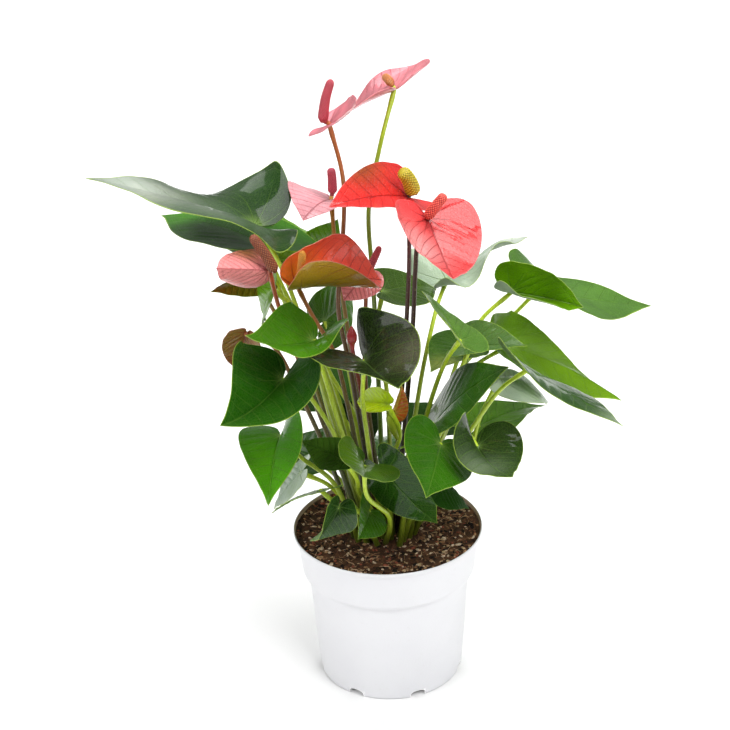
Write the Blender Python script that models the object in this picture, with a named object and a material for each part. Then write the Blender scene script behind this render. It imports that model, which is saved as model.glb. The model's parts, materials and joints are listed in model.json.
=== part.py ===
"""Potted anthurium: a nursery pot filled with soil, heart-shaped leaves and blooms on stems."""
import math

import bpy
import numpy as np

MM = 0.001

# Pot, in mm. The pot stands on z = 0 and its axis is the z axis.
POT_HEIGHT = 145.0
POT_LIP_RADIUS = 85.5
POT_LIP_HEIGHT = 4.0
POT_WALL = 1.8
POT_FOOT = 5.0
POT_FLOOR = 3.5
POT_RECESS = 4.5
POT_PAD_RADIUS = 22.0
POT_SIDES = 32
# Outer side of the pot from the foot to the lip: radius and height.
POT_SIDE = ((64.0, 0.0), (65.2, 2.0), (70.3, 72.0), (72.6, 96.0), (78.2, 106.0), (82.2, 138.0))
NOTCH_COUNT = 7
NOTCH_TURN = -121.0
NOTCH_WIDTH = 15.0
NOTCH_HEIGHT = 6.0
DRAIN_COUNT = 4
DRAIN_RADIUS = 4.0
DRAIN_RING = 42.0
DRAIN_SIDES = 6
CUT_OVER = 1.0

# Soil.
SOIL_TOP = 137.0
SOIL_BUMP = 1.3
SOIL_RINGS = 2
SOIL_FLAT = 44.0
SOIL_LUMP = 6.0
GAP = 0.3

# Stems. They stand in plain holes in the soil.
HOLE_DEPTH = 12.0
HOLE_GAP = 0.35
STEM_SIDES = 5
STEM_RUN = 72.0
STEM_FOOT_RADIUS = 2.5
STEM_TOP_RADIUS = 1.9
STEM_POKE = -0.4
BLOOM_POKE = 2.8
STEM_RISE = 4.0
VIA_SHARE = np.array([0.40, 0.40, 0.58])
ARRIVE_UP = 0.75
ARRIVE_ALONG = 0.45
LEAD_MOST = 16.0
LEAD_LEAST = 4.0
LEAD_SHARE = 0.2
BRANCH_STEPS = 5
BRANCH_RADIUS = 1.7
CROWN_RADIUS = 36.0
CROWN_SHARE = 0.22
CROWN_SPACING = 7.6
CROWN_LEAN = 25.0
CROWN_ROUNDS = 200
GOLDEN_ANGLE = math.pi * (3 - math.sqrt(5))
STEM_CLEAR = 7.8
BLADE_CLEAR = 7.0
ROUTE_POINTS = 22
CLEAR_ROUNDS = 80
CLEAR_RENEW = 10
CLEAR_RANGE = 18.0
CLEAR_PUSH = 0.25
CLEAR_STEP = 1.5
CLEAR_LATE = 0.8
CLEAR_GRID = (8, 4)

# Blades. Outlines are half hearts: along the midrib and out from it, in blade lengths.
BLADE_THICK = 0.9
BLADE_RAYS = 7
BLADE_RINGS = 3
SMALL_BLADE = 80.0
SMALL_RAYS = 6
SMALL_RINGS = 2
LOBE_REACH = 0.26
HALF_WIDTH = 0.45
FOLD_FRONT = 0.7
WAVES = 2.2 * math.pi
FACE_UP = np.array([0.0, -0.3, 1.0])
LEAF_HALF = ((-0.10, 0.02), (-0.20, 0.085), (-0.265, 0.19), (-0.235, 0.33), (-0.09, 0.43),
             (0.12, 0.46), (0.34, 0.41), (0.56, 0.295), (0.76, 0.155), (0.90, 0.055), (1.0, 0.0))
SPATHE_HALF = ((-0.07, 0.02), (-0.17, 0.085), (-0.225, 0.20), (-0.195, 0.34), (-0.06, 0.45),
               (0.15, 0.49), (0.38, 0.45), (0.60, 0.345), (0.80, 0.20), (0.92, 0.075), (1.0, 0.0))

# Spadices.
SPADIX_SIDES = 8
SPADIX_STEPS = 10
SPADIX_BUMP = 0.09
SPADIX_TIP = 0.82
SPADIX_END = 0.35
SPADIX_BOW = 1.5
STIPE = 3.4


def blade(at, tip, roll=0, width=1.0, fold=(10, 10, 10, 10), arch=20, lobes=12, twist=0,
          wave=(0, 0), phase=0, curl=0, via=(), half=LEAF_HALF):
    """A heart-shaped blade from its stalk end to its tip, in mm, with its bends in degrees.

    roll turns it about that line from facing up. fold lifts the left side at the tip and at the
    lobes, then the right side. wave moves the edges up and down by shares of the length.
    """
    return {"at": at, "tip": tip, "roll": roll, "width": width, "fold": fold, "arch": arch,
            "lobes": lobes, "twist": twist, "wave": wave, "phase": phase, "curl": curl,
            "via": via, "half": half}


LEAVES = {
    # Upper left.
    "leaf_01": blade((-104, 5, 436), (-239, -12, 489), -11, 1.24, (40, 30, -22, 32), 11, 42, -18,
                     (-0.05, 0.09), 180, -25, via=((-75, -41, 396), (-86, -32, 422))),
    "leaf_02": blade((-100, 22, 413), (-193, 102, 411), -15, 1.1, (10, 15, -5, -10), 20, 15, -10),
    "leaf_03": blade((-97, 50, 384), (-139, 100, 379), -15, 1.0, (15, 20, 15, 10), 35, 5),
    "leaf_04": blade((-99, 125, 382), (-67, 185, 360), -10, 1.0, (15, 20, 10, 10), 20, 10, -5),
    "leaf_05": blade((-51, 81, 370), (-35, 63, 417), -55, 1.1, (10, 30, -5, -5), 10, 10),
    # Upper right.
    "leaf_06": blade((60, 85, 346), (138, 130, 368), 16, 1.2, (-19, -4, 19, 34), 35, 37, 0,
                     (0.18, -0.12), 80, via=((49, 45, 333),)),
    "leaf_07": blade((115, 49, 348), (180, 54, 329), -24, 1.2, (49, 60, 57, 60), 19, 2, 32,
                     (0.02, 0.12), -135, 19, via=((60, 24, 240), (82, 42, 318), (104, 36, 340))),
    "leaf_08": blade((147, 120, 320), (256, 150, 286), 20, 1.08, (5, 15, -5, 10), -10, 25, 5,
                     (-0.06, 0), -20, via=((50, 60, 240), (118, 118, 290))),
    "leaf_09": blade((112, 44, 299), (213, 30, 248), 32, 1.22, (-11, -6, -47, -18), 20, 78, -12,
                     (0.01, 0.03), 180, 44, via=((84, 28, 295),)),
    "leaf_10": blade((117, -80, 334), (187, -150, 316), 35, 1.05, (-5, -10, 0, 30), 5, 15, 5,
                     via=((72, -40, 258), (95, -55, 300), (102, -60, 318))),
    "leaf_11": blade((61, -102, 373), (33, -56, 398), -45, 1.05, (5, 20, 0, 25), 20, 15,
                     via=((35, -38, 266), (50, -60, 331))),
    "leaf_12": blade((75, -15, 327), (120, -50, 342), 5, 0.9, (15, 45, 10, 10), 5, 10, -10),
    "leaf_13": blade((70, 28, 307), (40, -20, 306), 0, 1.0, (10, 5, 10, 10), 15, 20, 10,
                     via=((44, 16, 245),)),
    # Middle and low right.
    "leaf_14": blade((42, -45, 270), (102, -80, 338), 5, 1.05, (5, 5, -5, 25), 25, 10, 10),
    "leaf_15": blade((102, 10, 284), (147, 46, 237), 0, 1.1, (-10, -60, 5, 5), 60, 0, 10,
                     via=((74, 7, 212),)),
    "leaf_16": blade((86, 34, 225), (149, 72, 224), 20, 1.0, (10, 10, 10, -5), 25, 10, -5,
                     via=((60, 11, 189),)),
    "leaf_17": blade((74, -107, 279), (98, -170, 284), 25, 1.15, (20, 45, -10, 55), -30, 5, 5,
                     via=((56, -60, 285),)),
    "leaf_18": blade((44, -108, 283), (29, -182, 275), 25, 0.95, (-10, -10, -5, 15), 15, 15, 5),
    "leaf_19": blade((-2, -65, 234), (43, -50, 174), -75, 0.86, (40, 22, -32, -42), 41, -25, -28,
                     (-0.04, -0.05)),
    "leaf_20": blade((46, -70, 223), (70, -58, 192), 5, 1.08, (-5, -15, -10, -30), 25, 10),
    "leaf_21": blade((-19, -95, 258), (-20, -150, 277), 25, 1.12, (-5, 20, 0, 40), 10, 10,
                     via=((-3, -70, 199), (-24, -92, 237))),
    "leaf_22": blade((-35, -85, 258), (-72, -60, 265), 15, 0.9, (-5, 35, 0, -10), 10, 15, -15,
                     via=((-26, -42, 205),)),
    # Left and front.
    "leaf_23": blade((-83, -90, 338), (-130, -167, 337), -16, 1.13, (0, 28, 56, 52), -32, 33, -20,
                     via=((-44, -45, 264), (-61, -50, 300))),
    "leaf_24": blade((-89, -65, 273), (-98, -141, 249), -5, 0.9, (25, 70, 15, 10), 40, -10, -15),
    "leaf_25": blade((-76, -12, 208), (-102, -2, 166), -10, 1.0, (0, 0, 0, -5), 20, 10, -5),
    "leaf_26": blade((-57, -80, 228), (-100, -68, 200), -35, 1.0, (0, 5, -5, -10), 30, 10),
    "leaf_27": blade((-57, -80, 367), (-108, -140, 401), -44, 0.92, (-22, 5, 55, 84), -31, 33,
                     -20, (0.08, 0.01), 60, via=((-50, -60, 325),)),
    "leaf_28": blade((-16, -100, 357), (9, -198, 379), 10, 1.04, (31, 90, 7, 5), -7, 16, -20,
                     (0.05, -0.03), -100, via=((-13, -40, 228),)),
    "leaf_29": blade((-90, -25, 390), (-100, 10, 346), 65, 1.0, (10, 15, 20, 15), 30, 10, -5),
    # Inside and behind, as far as the front shows them.
    "leaf_32": blade((2, 25, 364), (51, 80, 340), -5, 0.97, (5, -15, 5, 10), 25, 15, 5),
    "leaf_33": blade((-50, 45, 328), (-25, 110, 329), -65, 0.84, (10, 0, 5, 5), 30, 10),
    # The side that the front hardly shows.
    "leaf_34": blade((-50, 75, 235), (-85, 165, 215), 0, 1.0, (15, 15, 15, 15), 25,
                     via=((-22, 41, 208),)),
    "leaf_35": blade((-26, 65, 209), (-19, 110, 244), 15, 1.0, (15, 20, 15, 20), 30),
    "leaf_36": blade((48, 80, 200), (85, 155, 175), 5, 1.0, (10, 15, 15, 15), 30),
    "leaf_37": blade((-60, 50, 185), (-110, 120, 165), 0, 1.0, (15, 15, 10, 15), 25),
    "leaf_38": blade((0, 75, 180), (0, 150, 155), 0, 1.0, (15, 15, 15, 15), 30),
    # Bronze young leaf below the left bloom.
    "leaf_39": blade((-106, 30, 374), (-145, 5, 377), -10, 1.0, (-10, -5, -15, -20), 10, 10, -10),
}

# Two leaves on one foot: the second's stem leaves the first's at this share of its route.
PAIRS = {
    "young_leaves": ("low_left", "low_right", 0.45),
    "young_shoot": ("lime_leaf", "bronze_sheath", 0.75),
}
PAIR_LEAVES = {
    "low_left": blade((-42, -84, 213), (-68, -76, 176), 115, 0.95, (30, 85, 25, 15), 45, 0, -15),
    "low_right": blade((-16, -55, 191), (-27, -95, 187), 55, 1.1, (10, 15, 15, 20), 20, 15),
    "lime_leaf": blade((2, -48, 291), (-24, -21, 281), 35, 0.87, (30, 45, 40, 60), 30, 15),
    "bronze_sheath": blade((8, -41, 279), (15, -44, 307), 180, 0.8, (45, 45, 45, 45), 10, 10),
}

BLOOMS = {
    "bloom_01": blade((-38, -18, 530), (-16, -62, 561), -40, 0.8, (0, -10, 25, 35), -15, 30,
                      via=((-33, -10, 349), (-36, -10, 373), (-29, -10, 434)), half=SPATHE_HALF),
    "bloom_02": blade((16, 22, 545), (-21, 86, 508), 13, 1.09, (11, 12, 12, -7), 15, 45, -9,
                      (-0.01, -0.06), -56,
                      via=((-5, 10, 356), (-6, 10, 381), (-9, 10, 413), (-8, 10, 446),
                           (-3, 0, 492)), half=SPATHE_HALF),
    "bloom_03": blade((24, -30, 470), (-40, -81, 483), 20, 0.76, (30, 25, 15, 15), 30, 10,
                      via=((21, -15, 356), (24, -28, 440)), half=SPATHE_HALF),
    "bloom_04": blade((37, -104, 479), (53, -158, 450), -12, 1.25, (-34, -14, 56, 44), -46, -25,
                      12, (0.01, -0.15), -131, 8, via=((26, -25, 356), (30, -56, 444)),
                      half=SPATHE_HALF),
    "bloom_05": blade((-68, -65, 408), (1, -17, 392), -16, 1.15, (20, 48, 12, 47), 24, 12,
                      curl=64, via=((-50, -40, 363),), half=SPATHE_HALF),
    "bloom_06": blade((-12, 5, 390), (-32, -12, 372), 35, 1.2, (10, 10, 10, 10), 10, 10, -5,
                      via=((-16, -2, 300),), half=SPATHE_HALF),
    "bloom_07": blade((-90, -75, 428), (-129, -111, 446), 57, 0.96, (-55, -36, -32, -21), -9, -36,
                      9, curl=-38, via=((-85, -61, 391),), half=SPATHE_HALF),
    "bloom_08": blade((-40, 45, 442), (-63, -13, 446), 0, 1.19, (20, 20, 20, 10), 30, 10, -5,
                      via=((-39, 20, 423),), half=SPATHE_HALF),
    # The aged bloom at the far left.
    "bloom_09": blade((-113, -50, 362), (-125, -39, 325), 85, 1.0, (20, 50, 25, 30), 10, 25,
                      half=SPATHE_HALF),
}
# Spadix of each bloom: end point, radius at its foot and at its top.
SPADICES = {
    "spadix_01": ("bloom_01", (-35, -14, 566), 4.4, 3.2),
    "spadix_02": ("bloom_02", (9, 50, 547), 3.6, 2.8),
    "spadix_03": ("bloom_03", (19, -42, 497), 6.6, 5.2),
    "spadix_04": ("bloom_04", (50, -114, 502), 4.2, 3.7),
    "spadix_05": ("bloom_05", (-62, -92, 450), 3.3, 2.8),
    "spadix_06": ("bloom_06", (0, -12, 420), 3.6, 2.4),
    "spadix_07": ("bloom_07", (-102, -84, 462), 4.6, 3.6),
    "spadix_08": ("bloom_08", (-39, 42, 471), 4.0, 3.4),
}
# Closed bud: the same kind of entry, with the radii of its body from the stalk to its point.
BUD = {"at": (-26, -30, 335), "tip": (-26, -30, 356), "via": ()}
BUD_RADII = (2.4, 4.4, 4.6, 3.2, 0.9)

# Plain colours and roughness.
WHITE_PLASTIC = ((0.82, 0.81, 0.78), 0.4)
DARK_SOIL = ((0.05, 0.03, 0.02), 0.95)
GREEN_LEAF = ((0.05, 0.18, 0.02), 0.35)
LIME_LEAF = ((0.16, 0.30, 0.04), 0.35)
CORAL_BLOOM = ((0.80, 0.12, 0.11), 0.3)
YELLOW_SPADIX = ((0.75, 0.35, 0.10), 0.5)
DARK_BUD = ((0.35, 0.03, 0.03), 0.35)


def unit(v):
    v = np.asarray(v, float)
    return v / np.linalg.norm(v)


def smooth_curve(points, count, dense=24):
    """Centripetal Catmull-Rom curve through the points, as evenly spaced points."""
    p = np.asarray(points, float)
    p = np.vstack([2 * p[0] - p[1], p, 2 * p[-1] - p[-2]])
    t = np.linspace(0, 1, dense, endpoint=False)[:, None]
    runs = []
    for a, b, c, d in zip(p[:-3], p[1:-2], p[2:-1], p[3:]):
        u, v, w = [math.sqrt(math.dist(m, n)) for m, n in ((a, b), (b, c), (c, d))]
        out = ((b - a) / u - (c - a) / (u + v) + (c - b) / v) * v
        into = ((c - b) / v - (d - b) / (v + w) + (d - c) / w) * v
        runs.append((1 + 2 * t) * (1 - t) ** 2 * b + t * (1 - t) ** 2 * out
                    + t * t * (3 - 2 * t) * c + t * t * (t - 1) * into)
    curve = np.vstack(runs + [p[-2][None]])
    run = np.concatenate([[0], np.cumsum(np.linalg.norm(np.diff(curve, axis=0), axis=1))])
    at = np.linspace(0, run[-1], count)
    return np.stack([np.interp(at, run, curve[:, k]) for k in range(curve.shape[1])], 1)


def blade_local(a, b, f):
    """Point of a blade at a along the midrib and b to the left of it, in blade lengths."""
    arch = math.radians(f["arch"]) or 1e-4
    lobe = (math.radians(f["lobes"]) or 1e-4) / LOBE_REACH
    ahead = a >= 0
    x = np.where(ahead, np.sin(arch * a) / arch, np.sin(lobe * a) / lobe)
    z = np.where(ahead, (np.cos(arch * a) - 1) / arch, (1 - np.cos(lobe * a)) / lobe)
    slope = np.where(ahead, -arch * a, lobe * a)
    back = np.clip((FOLD_FRONT - a) / (FOLD_FRONT + LOBE_REACH), 0, 1)
    back = back * back * (3 - 2 * back)
    left_tip, left_lobe, right_tip, right_lobe = f["fold"]
    left = left_tip + (left_lobe - left_tip) * back
    right = right_tip + (right_lobe - right_tip) * back
    fold = np.radians(np.where(b >= 0, left, right))
    side = np.where(b >= 0, 1.0, -1.0)
    out = np.abs(b) * f["width"]
    curl = (math.radians(f["curl"]) or 1e-4) / HALF_WIDTH
    y = side * (np.sin(fold + curl * out) - np.sin(fold)) / curl
    h = (np.cos(fold) - np.cos(fold + curl * out)) / curl
    wave = np.where(b >= 0, f["wave"][0], f["wave"][1])
    h = h + wave * np.sin(WAVES * a + math.radians(f["phase"])) * (out / HALF_WIDTH) ** 1.5
    turn = math.radians(f["twist"]) * a
    y, h = y * np.cos(turn) - h * np.sin(turn), y * np.sin(turn) + h * np.cos(turn)
    return np.stack([x - np.sin(slope) * h, y, z + np.cos(slope) * h], -1)


def blade_frame(f):
    """Length of a blade and the axes that carry it to its place."""
    at, tip = np.array(f["at"], float), np.array(f["tip"], float)
    end = blade_local(np.array([1.0]), np.array([0.0]), f)[0]
    chord = math.hypot(end[0], end[2])
    along = np.array([end[0], 0, end[2]]) / chord
    local = np.stack([along, [0, 1, 0], [-along[2], 0, along[0]]])
    e1 = unit(tip - at)
    up = unit(FACE_UP - e1 * (FACE_UP @ e1))
    roll = math.radians(f["roll"])
    e3 = up * math.cos(roll) + np.cross(up, e1) * math.sin(roll)
    return np.linalg.norm(tip - at) / chord, at, local.T @ np.stack([e1, np.cross(e3, e1), e3])


def blade_point(a, b, f):
    size, at, turn = blade_frame(f)
    return at + size * blade_local(np.asarray(a, float), np.asarray(b, float), f) @ turn


def blade_grid(f, rays, rings):
    """Points, triangles and rim loop of a blade's upper face, on rays from the stalk end."""
    half = smooth_curve(f["half"], rays)
    share = np.linspace(0, 1, rings + 1)[1:]
    index, ab = {}, [(0.0, 0.0)]
    for side in (1, -1):
        for j in range(rays):
            for m in range(rings):
                if j == rays - 1 and side < 0:
                    index[side, j, m] = index[1, j, m]
                else:
                    index[side, j, m] = len(ab)
                    ab.append((half[j, 0] * share[m], side * half[j, 1] * share[m]))
    faces = []
    for side in (1, -1):
        for j in range(rays - 1):
            for m in range(rings):
                p, q = index[side, j, m], index[side, j + 1, m]
                if m == 0:
                    new = [(0, q, p)]
                else:
                    r, s = index[side, j, m - 1], index[side, j + 1, m - 1]
                    new = [(r, s, q), (r, q, p)]
                faces += new if side > 0 else [(x, z, y) for x, y, z in new]
    last = rings - 1
    rim = [0] + [index[1, 0, m] for m in range(last)]
    rim += [index[1, j, last] for j in range(rays)]
    rim += [index[-1, j, last] for j in range(rays - 2, -1, -1)]
    rim += [index[-1, 0, m] for m in range(last - 1, -1, -1)]
    ab = np.array(ab)
    return blade_point(ab[:, 0], ab[:, 1], f), faces, rim


def point_normals(points, faces):
    tri = np.array(faces)
    cross = np.cross(points[tri[:, 1]] - points[tri[:, 0]], points[tri[:, 2]] - points[tri[:, 0]])
    normals = np.zeros_like(points)
    for k in range(3):
        np.add.at(normals, tri[:, k], cross)
    return normals / np.maximum(np.linalg.norm(normals, axis=1), 1e-12)[:, None]


def blade_solid(f):
    """A blade with both faces alike and a plain edge between them."""
    small = math.dist(f["at"], f["tip"]) < SMALL_BLADE
    detail = (SMALL_RAYS, SMALL_RINGS) if small else (BLADE_RAYS, BLADE_RINGS)
    top, faces, rim = blade_grid(f, *detail)
    normals = point_normals(top, faces)
    low = top - normals * BLADE_THICK
    n = len(top)
    solid = faces + [(a + n, c + n, b + n) for a, b, c in faces]
    for p, q in zip(rim, rim[1:] + rim[:1]):
        solid += [(p, q, q + n), (p, q + n, p + n)]
    return np.vstack([top, low]), solid


def tube_solid(path, radii, sides, bump=0.0):
    """A closed tube along a path, with knobs in a staggered pattern where bump is given."""
    path = np.asarray(path, float)
    ways = np.gradient(path, axis=0)
    ways /= np.linalg.norm(ways, axis=1)[:, None]
    across = np.array([1.0, 0, 0])
    rows = len(path)
    points = []
    for i, (p, way, r) in enumerate(zip(path, ways, radii)):
        across = unit(across - way * (across @ way))
        other = np.cross(way, across)
        knob = bump if 0 < i < rows - 1 else 0.0
        for k in range(sides):
            turn = 2 * math.pi * k / sides
            reach = r * (1 + knob * (-1) ** (i + k))
            points.append(p + reach * (across * math.cos(turn) + other * math.sin(turn)))
    faces = []
    for i in range(rows - 1):
        for k in range(sides):
            a, b = i * sides + k, i * sides + (k + 1) % sides
            faces += [(a, b, b + sides), (a, b + sides, a + sides)]
    top = (rows - 1) * sides
    for k in range(1, sides - 1):
        faces += [(0, k + 1, k), (top, top + k, top + k + 1)]
    return np.array(points), faces


def spread_feet(targets):
    """Where each stem leaves the soil: toward its blade, low ones farther out, all apart."""
    feet = np.array([np.array([x, y]) * (1 + CROWN_LEAN / (z - SOIL_TOP)) for x, y, z in targets])
    feet *= CROWN_SHARE
    turn = np.arange(len(feet)) * GOLDEN_ANGLE
    feet += np.stack([np.cos(turn), np.sin(turn)], 1)
    for _ in range(CROWN_ROUNDS):
        gap = feet[:, None] - feet[None]
        far = np.linalg.norm(gap, axis=2) + np.eye(len(feet)) * 1e3
        push = np.clip(CROWN_SPACING - far, 0, None) / 2
        feet = feet + (gap / far[..., None] * push[..., None]).sum(1)
        away = np.linalg.norm(feet, axis=1)
        feet *= np.minimum(1, CROWN_RADIUS / np.maximum(away, 1e-6))[:, None]
    return feet


def arrival(f):
    """Way in which a stem reaches the end of its route."""
    if f is BUD:
        return unit(np.subtract(f["tip"], f["at"]))
    turn = blade_frame(f)[2]
    return unit(turn[2] * ARRIVE_UP + turn[0] * ARRIVE_ALONG)


def stem_route(foot, f):
    """Smooth route of a stem: straight out of its hole, then round to its blade from below."""
    at = np.array(f["at"], float)
    base = np.array([foot[0], foot[1], SOIL_TOP + STEM_RISE])
    rise = base + [0, 0, STEM_RISE]
    via = [np.array(v, float) for v in f["via"]] or [rise + (at - rise) * VIA_SHARE]
    lead = min(LEAD_MOST, LEAD_LEAST + LEAD_SHARE * np.linalg.norm(at - via[-1]))
    before = at - arrival(f) * lead
    return smooth_curve([base, rise] + via + [before, at], ROUTE_POINTS)


def clear_routes(routes, blades):
    """Push the routes sideways until they clear one another and the blades."""
    names = list(routes)
    start = np.array([routes[n] for n in names])
    count, length = start.shape[:2]
    step = np.arange(length)
    loose = np.tile((step > 0) & (step < length - 2), (count, 1))
    cloud = np.vstack(list(blades.values()))
    owner = np.concatenate([np.full(len(c), names.index(n) if n in names else -1)
                            for n, c in blades.items()])
    ids = np.repeat(np.arange(count), length)
    late = np.tile(step > CLEAR_LATE * length, count)
    offset = np.zeros_like(start)
    for turn in range(CLEAR_ROUNDS):
        flat = (start + offset).reshape(-1, 3)
        if turn % CLEAR_RENEW == 0:
            near = np.linalg.norm(flat[:, None] - cloud[None], axis=2) < CLEAR_RANGE
            near &= ~((ids[:, None] == owner[None]) & late[:, None])
            blade_pairs = np.argwhere(near)
            near = np.linalg.norm(flat[:, None] - flat[None], axis=2) < CLEAR_RANGE
            stem_pairs = np.argwhere(near & (ids[:, None] != ids[None]))
        push = np.zeros_like(flat)
        for pairs, others, clear in ((blade_pairs, cloud, BLADE_CLEAR),
                                     (stem_pairs, flat, STEM_CLEAR)):
            gap = flat[pairs[:, 0]] - others[pairs[:, 1]]
            far = np.maximum(np.linalg.norm(gap, axis=1), 0.5)
            weight = np.clip(clear - far, 0, None) / far * CLEAR_PUSH
            np.add.at(push, pairs[:, 0], gap * weight[:, None])
        size = np.maximum(np.linalg.norm(push, axis=1), 1e-6)
        push *= np.minimum(1, CLEAR_STEP / size)[:, None]
        offset += push.reshape(offset.shape) * loose[..., None]
        offset[:, 1:-1] = 0.5 * offset[:, 1:-1] + 0.25 * (offset[:, 2:] + offset[:, :-2])
        offset *= loose[..., None]
    return {n: start[i] + offset[i] for i, n in enumerate(names)}


def stem_routes():
    """Routes of all stems, clear of one another and of the blades."""
    growth = {**LEAVES, **BLOOMS, "bud": BUD}
    growth.update({first: PAIR_LEAVES[first] for first, _, _ in PAIRS.values()})
    feet = spread_feet([(f["via"] or (f["at"],))[0] for f in growth.values()])
    routes = {n: stem_route(foot, f) for foot, (n, f) in zip(feet, growth.items())}
    clouds = {n: blade_grid(f, *CLEAR_GRID)[0] for n, f in growth.items() if f is not BUD}
    clouds["bud"] = np.linspace(BUD["at"], BUD["tip"], 4)
    for _, second, _ in PAIRS.values():
        clouds[second] = blade_grid(PAIR_LEAVES[second], *CLEAR_GRID)[0]
    return clear_routes(routes, clouds)


def stem_path(route):
    """Evenly spaced points of a stem, with a straight foot down in its hole."""
    run = np.linalg.norm(np.diff(route, axis=0), axis=1).sum()
    foot = [route[0][0], route[0][1], SOIL_TOP - HOLE_DEPTH + GAP]
    return np.vstack([foot, smooth_curve(route, int(run / STEM_RUN) + 3)])


def stem_radii(path):
    return np.linspace(STEM_FOOT_RADIUS, STEM_TOP_RADIUS, len(path))


def stem_solid(route, f):
    """A stem from its hole to just through its blade."""
    path = stem_path(route)
    if f["half"] is SPATHE_HALF:
        path = np.vstack([path, path[-1] + blade_frame(f)[2][2] * BLOOM_POKE])
    else:
        path[-1] += blade_frame(f)[2][2] * STEM_POKE
    return tube_solid(path, stem_radii(path), STEM_SIDES)


def branch_solid(route, share, f):
    """The stem of a pair's second leaf, out of the first one's stem."""
    start = route[int(share * (len(route) - 1))]
    at = np.array(f["at"], float)
    before = at - arrival(f) * LEAD_SHARE * np.linalg.norm(at - start)
    path = smooth_curve([start, before, at], BRANCH_STEPS)
    path[-1] += blade_frame(f)[2][2] * STEM_POKE
    return tube_solid(path, np.full(len(path), BRANCH_RADIUS), STEM_SIDES)


def bud_solid(route):
    """The closed bud, in one with its stem."""
    path = stem_path(route)
    body = np.linspace(BUD["at"], BUD["tip"], len(BUD_RADII) + 1)[1:]
    radii = np.concatenate([stem_radii(path), BUD_RADII])
    return tube_solid(np.vstack([path, body]), radii, STEM_SIDES)


def spadix_solid(bloom, end, foot, top):
    """A spadix on a short neck, seated on the end of its bloom's stem, with knobbly florets."""
    _, at, turn = blade_frame(BLOOMS[bloom])
    start = at + turn[2] * (BLOOM_POKE + GAP)
    neck = start + turn[2] * STIPE
    middle = (neck + np.array(end)) / 2 + turn[2] * SPADIX_BOW
    path = np.vstack([start, smooth_curve([neck, middle, end], SPADIX_STEPS - 1)])
    share = np.linspace(0, 1, SPADIX_STEPS)
    body = foot + (top - foot) * share
    tip = np.clip((share - SPADIX_TIP) / (1 - SPADIX_TIP), 0, 1)
    body = body * (SPADIX_END + (1 - SPADIX_END) * np.sqrt(1 - tip * tip))
    body[0] = STEM_TOP_RADIUS
    body[1] = (STEM_TOP_RADIUS + foot) / 2
    return tube_solid(path, body, SPADIX_SIDES, SPADIX_BUMP)


def mesh_object(name, points, faces):
    """An object in metres from points in mm."""
    mesh = bpy.data.meshes.new(name)
    mesh.from_pydata([tuple(p) for p in np.asarray(points) * MM], [], faces)
    obj = bpy.data.objects.new(name, mesh)
    bpy.context.scene.collection.objects.link(obj)
    return obj


def take_modifiers(obj):
    """Keep the result of an object's modifiers as its mesh."""
    graph = bpy.context.evaluated_depsgraph_get()
    mesh = bpy.data.meshes.new_from_object(obj.evaluated_get(graph))
    obj.modifiers.clear()
    obj.data = mesh
    mesh.name = obj.name


def join(target, others):
    """Fuse other bodies into one. The exact solver loses some of these thin blades."""
    for other in others:
        other.hide_render = True
        other.display_type = "WIRE"
        step = target.modifiers.new("join", "BOOLEAN")
        step.operation = "UNION"
        step.solver = "MANIFOLD"
        step.object = other
    take_modifiers(target)
    for other in others:
        bpy.data.objects.remove(other)


def cut(target, cutters):
    """Cut several bodies out of one in a single Boolean."""
    group = bpy.data.collections.new("cutters")
    for cutter in cutters:
        cutter.hide_render = True
        cutter.display_type = "WIRE"
        bpy.context.scene.collection.objects.unlink(cutter)
        group.objects.link(cutter)
    bpy.context.scene.collection.children.link(group)
    step = target.modifiers.new("cut", "BOOLEAN")
    step.operation = "DIFFERENCE"
    step.solver = "EXACT"
    step.operand_type = "COLLECTION"
    step.collection = group
    take_modifiers(target)
    for cutter in cutters:
        bpy.data.objects.remove(cutter)
    bpy.data.collections.remove(group)


def paint(obj, colour, roughness):
    material = bpy.data.materials.new(obj.name + "_look")
    material.use_nodes = True
    shader = material.node_tree.nodes["Principled BSDF"]
    shader.inputs["Base Color"].default_value = (*colour, 1.0)
    shader.inputs["Roughness"].default_value = roughness
    obj.data.materials.clear()
    obj.data.materials.append(material)


def lathe(profile, sides):
    """Points and faces of a body of revolution; the profile runs from axis to axis."""
    points, rings = [], []
    for r, z in profile:
        if r == 0:
            rings.append([len(points)] * sides)
            points.append((0, 0, z))
        else:
            rings.append(list(range(len(points), len(points) + sides)))
            for k in range(sides):
                turn = 2 * math.pi * k / sides
                points.append((r * math.cos(turn), r * math.sin(turn), z))
    faces = []
    for low, high in zip(rings[:-1], rings[1:]):
        for k in range(sides):
            a, b, c, d = low[k], low[(k + 1) % sides], high[(k + 1) % sides], high[k]
            faces += [f for f in ((a, b, c), (a, c, d)) if len(set(f)) == 3]
    return points, faces


def inner_side(step):
    """Inner side of the pot, in from its outer side: radius and height, from the floor up."""
    radii, heights = zip(*POT_SIDE)
    floor = POT_RECESS + POT_FLOOR
    upper = [(r - step, z) for r, z in POT_SIDE if z > floor]
    return [(float(np.interp(floor, heights, radii)) - step, floor)] + upper


def prism(radius, low, high, sides, x=0.0, y=0.0):
    points, faces = lathe([(0, low), (radius, low), (radius, high), (0, high)], sides)
    return [(px + x, py + y, pz) for px, py, pz in points], faces


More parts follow.
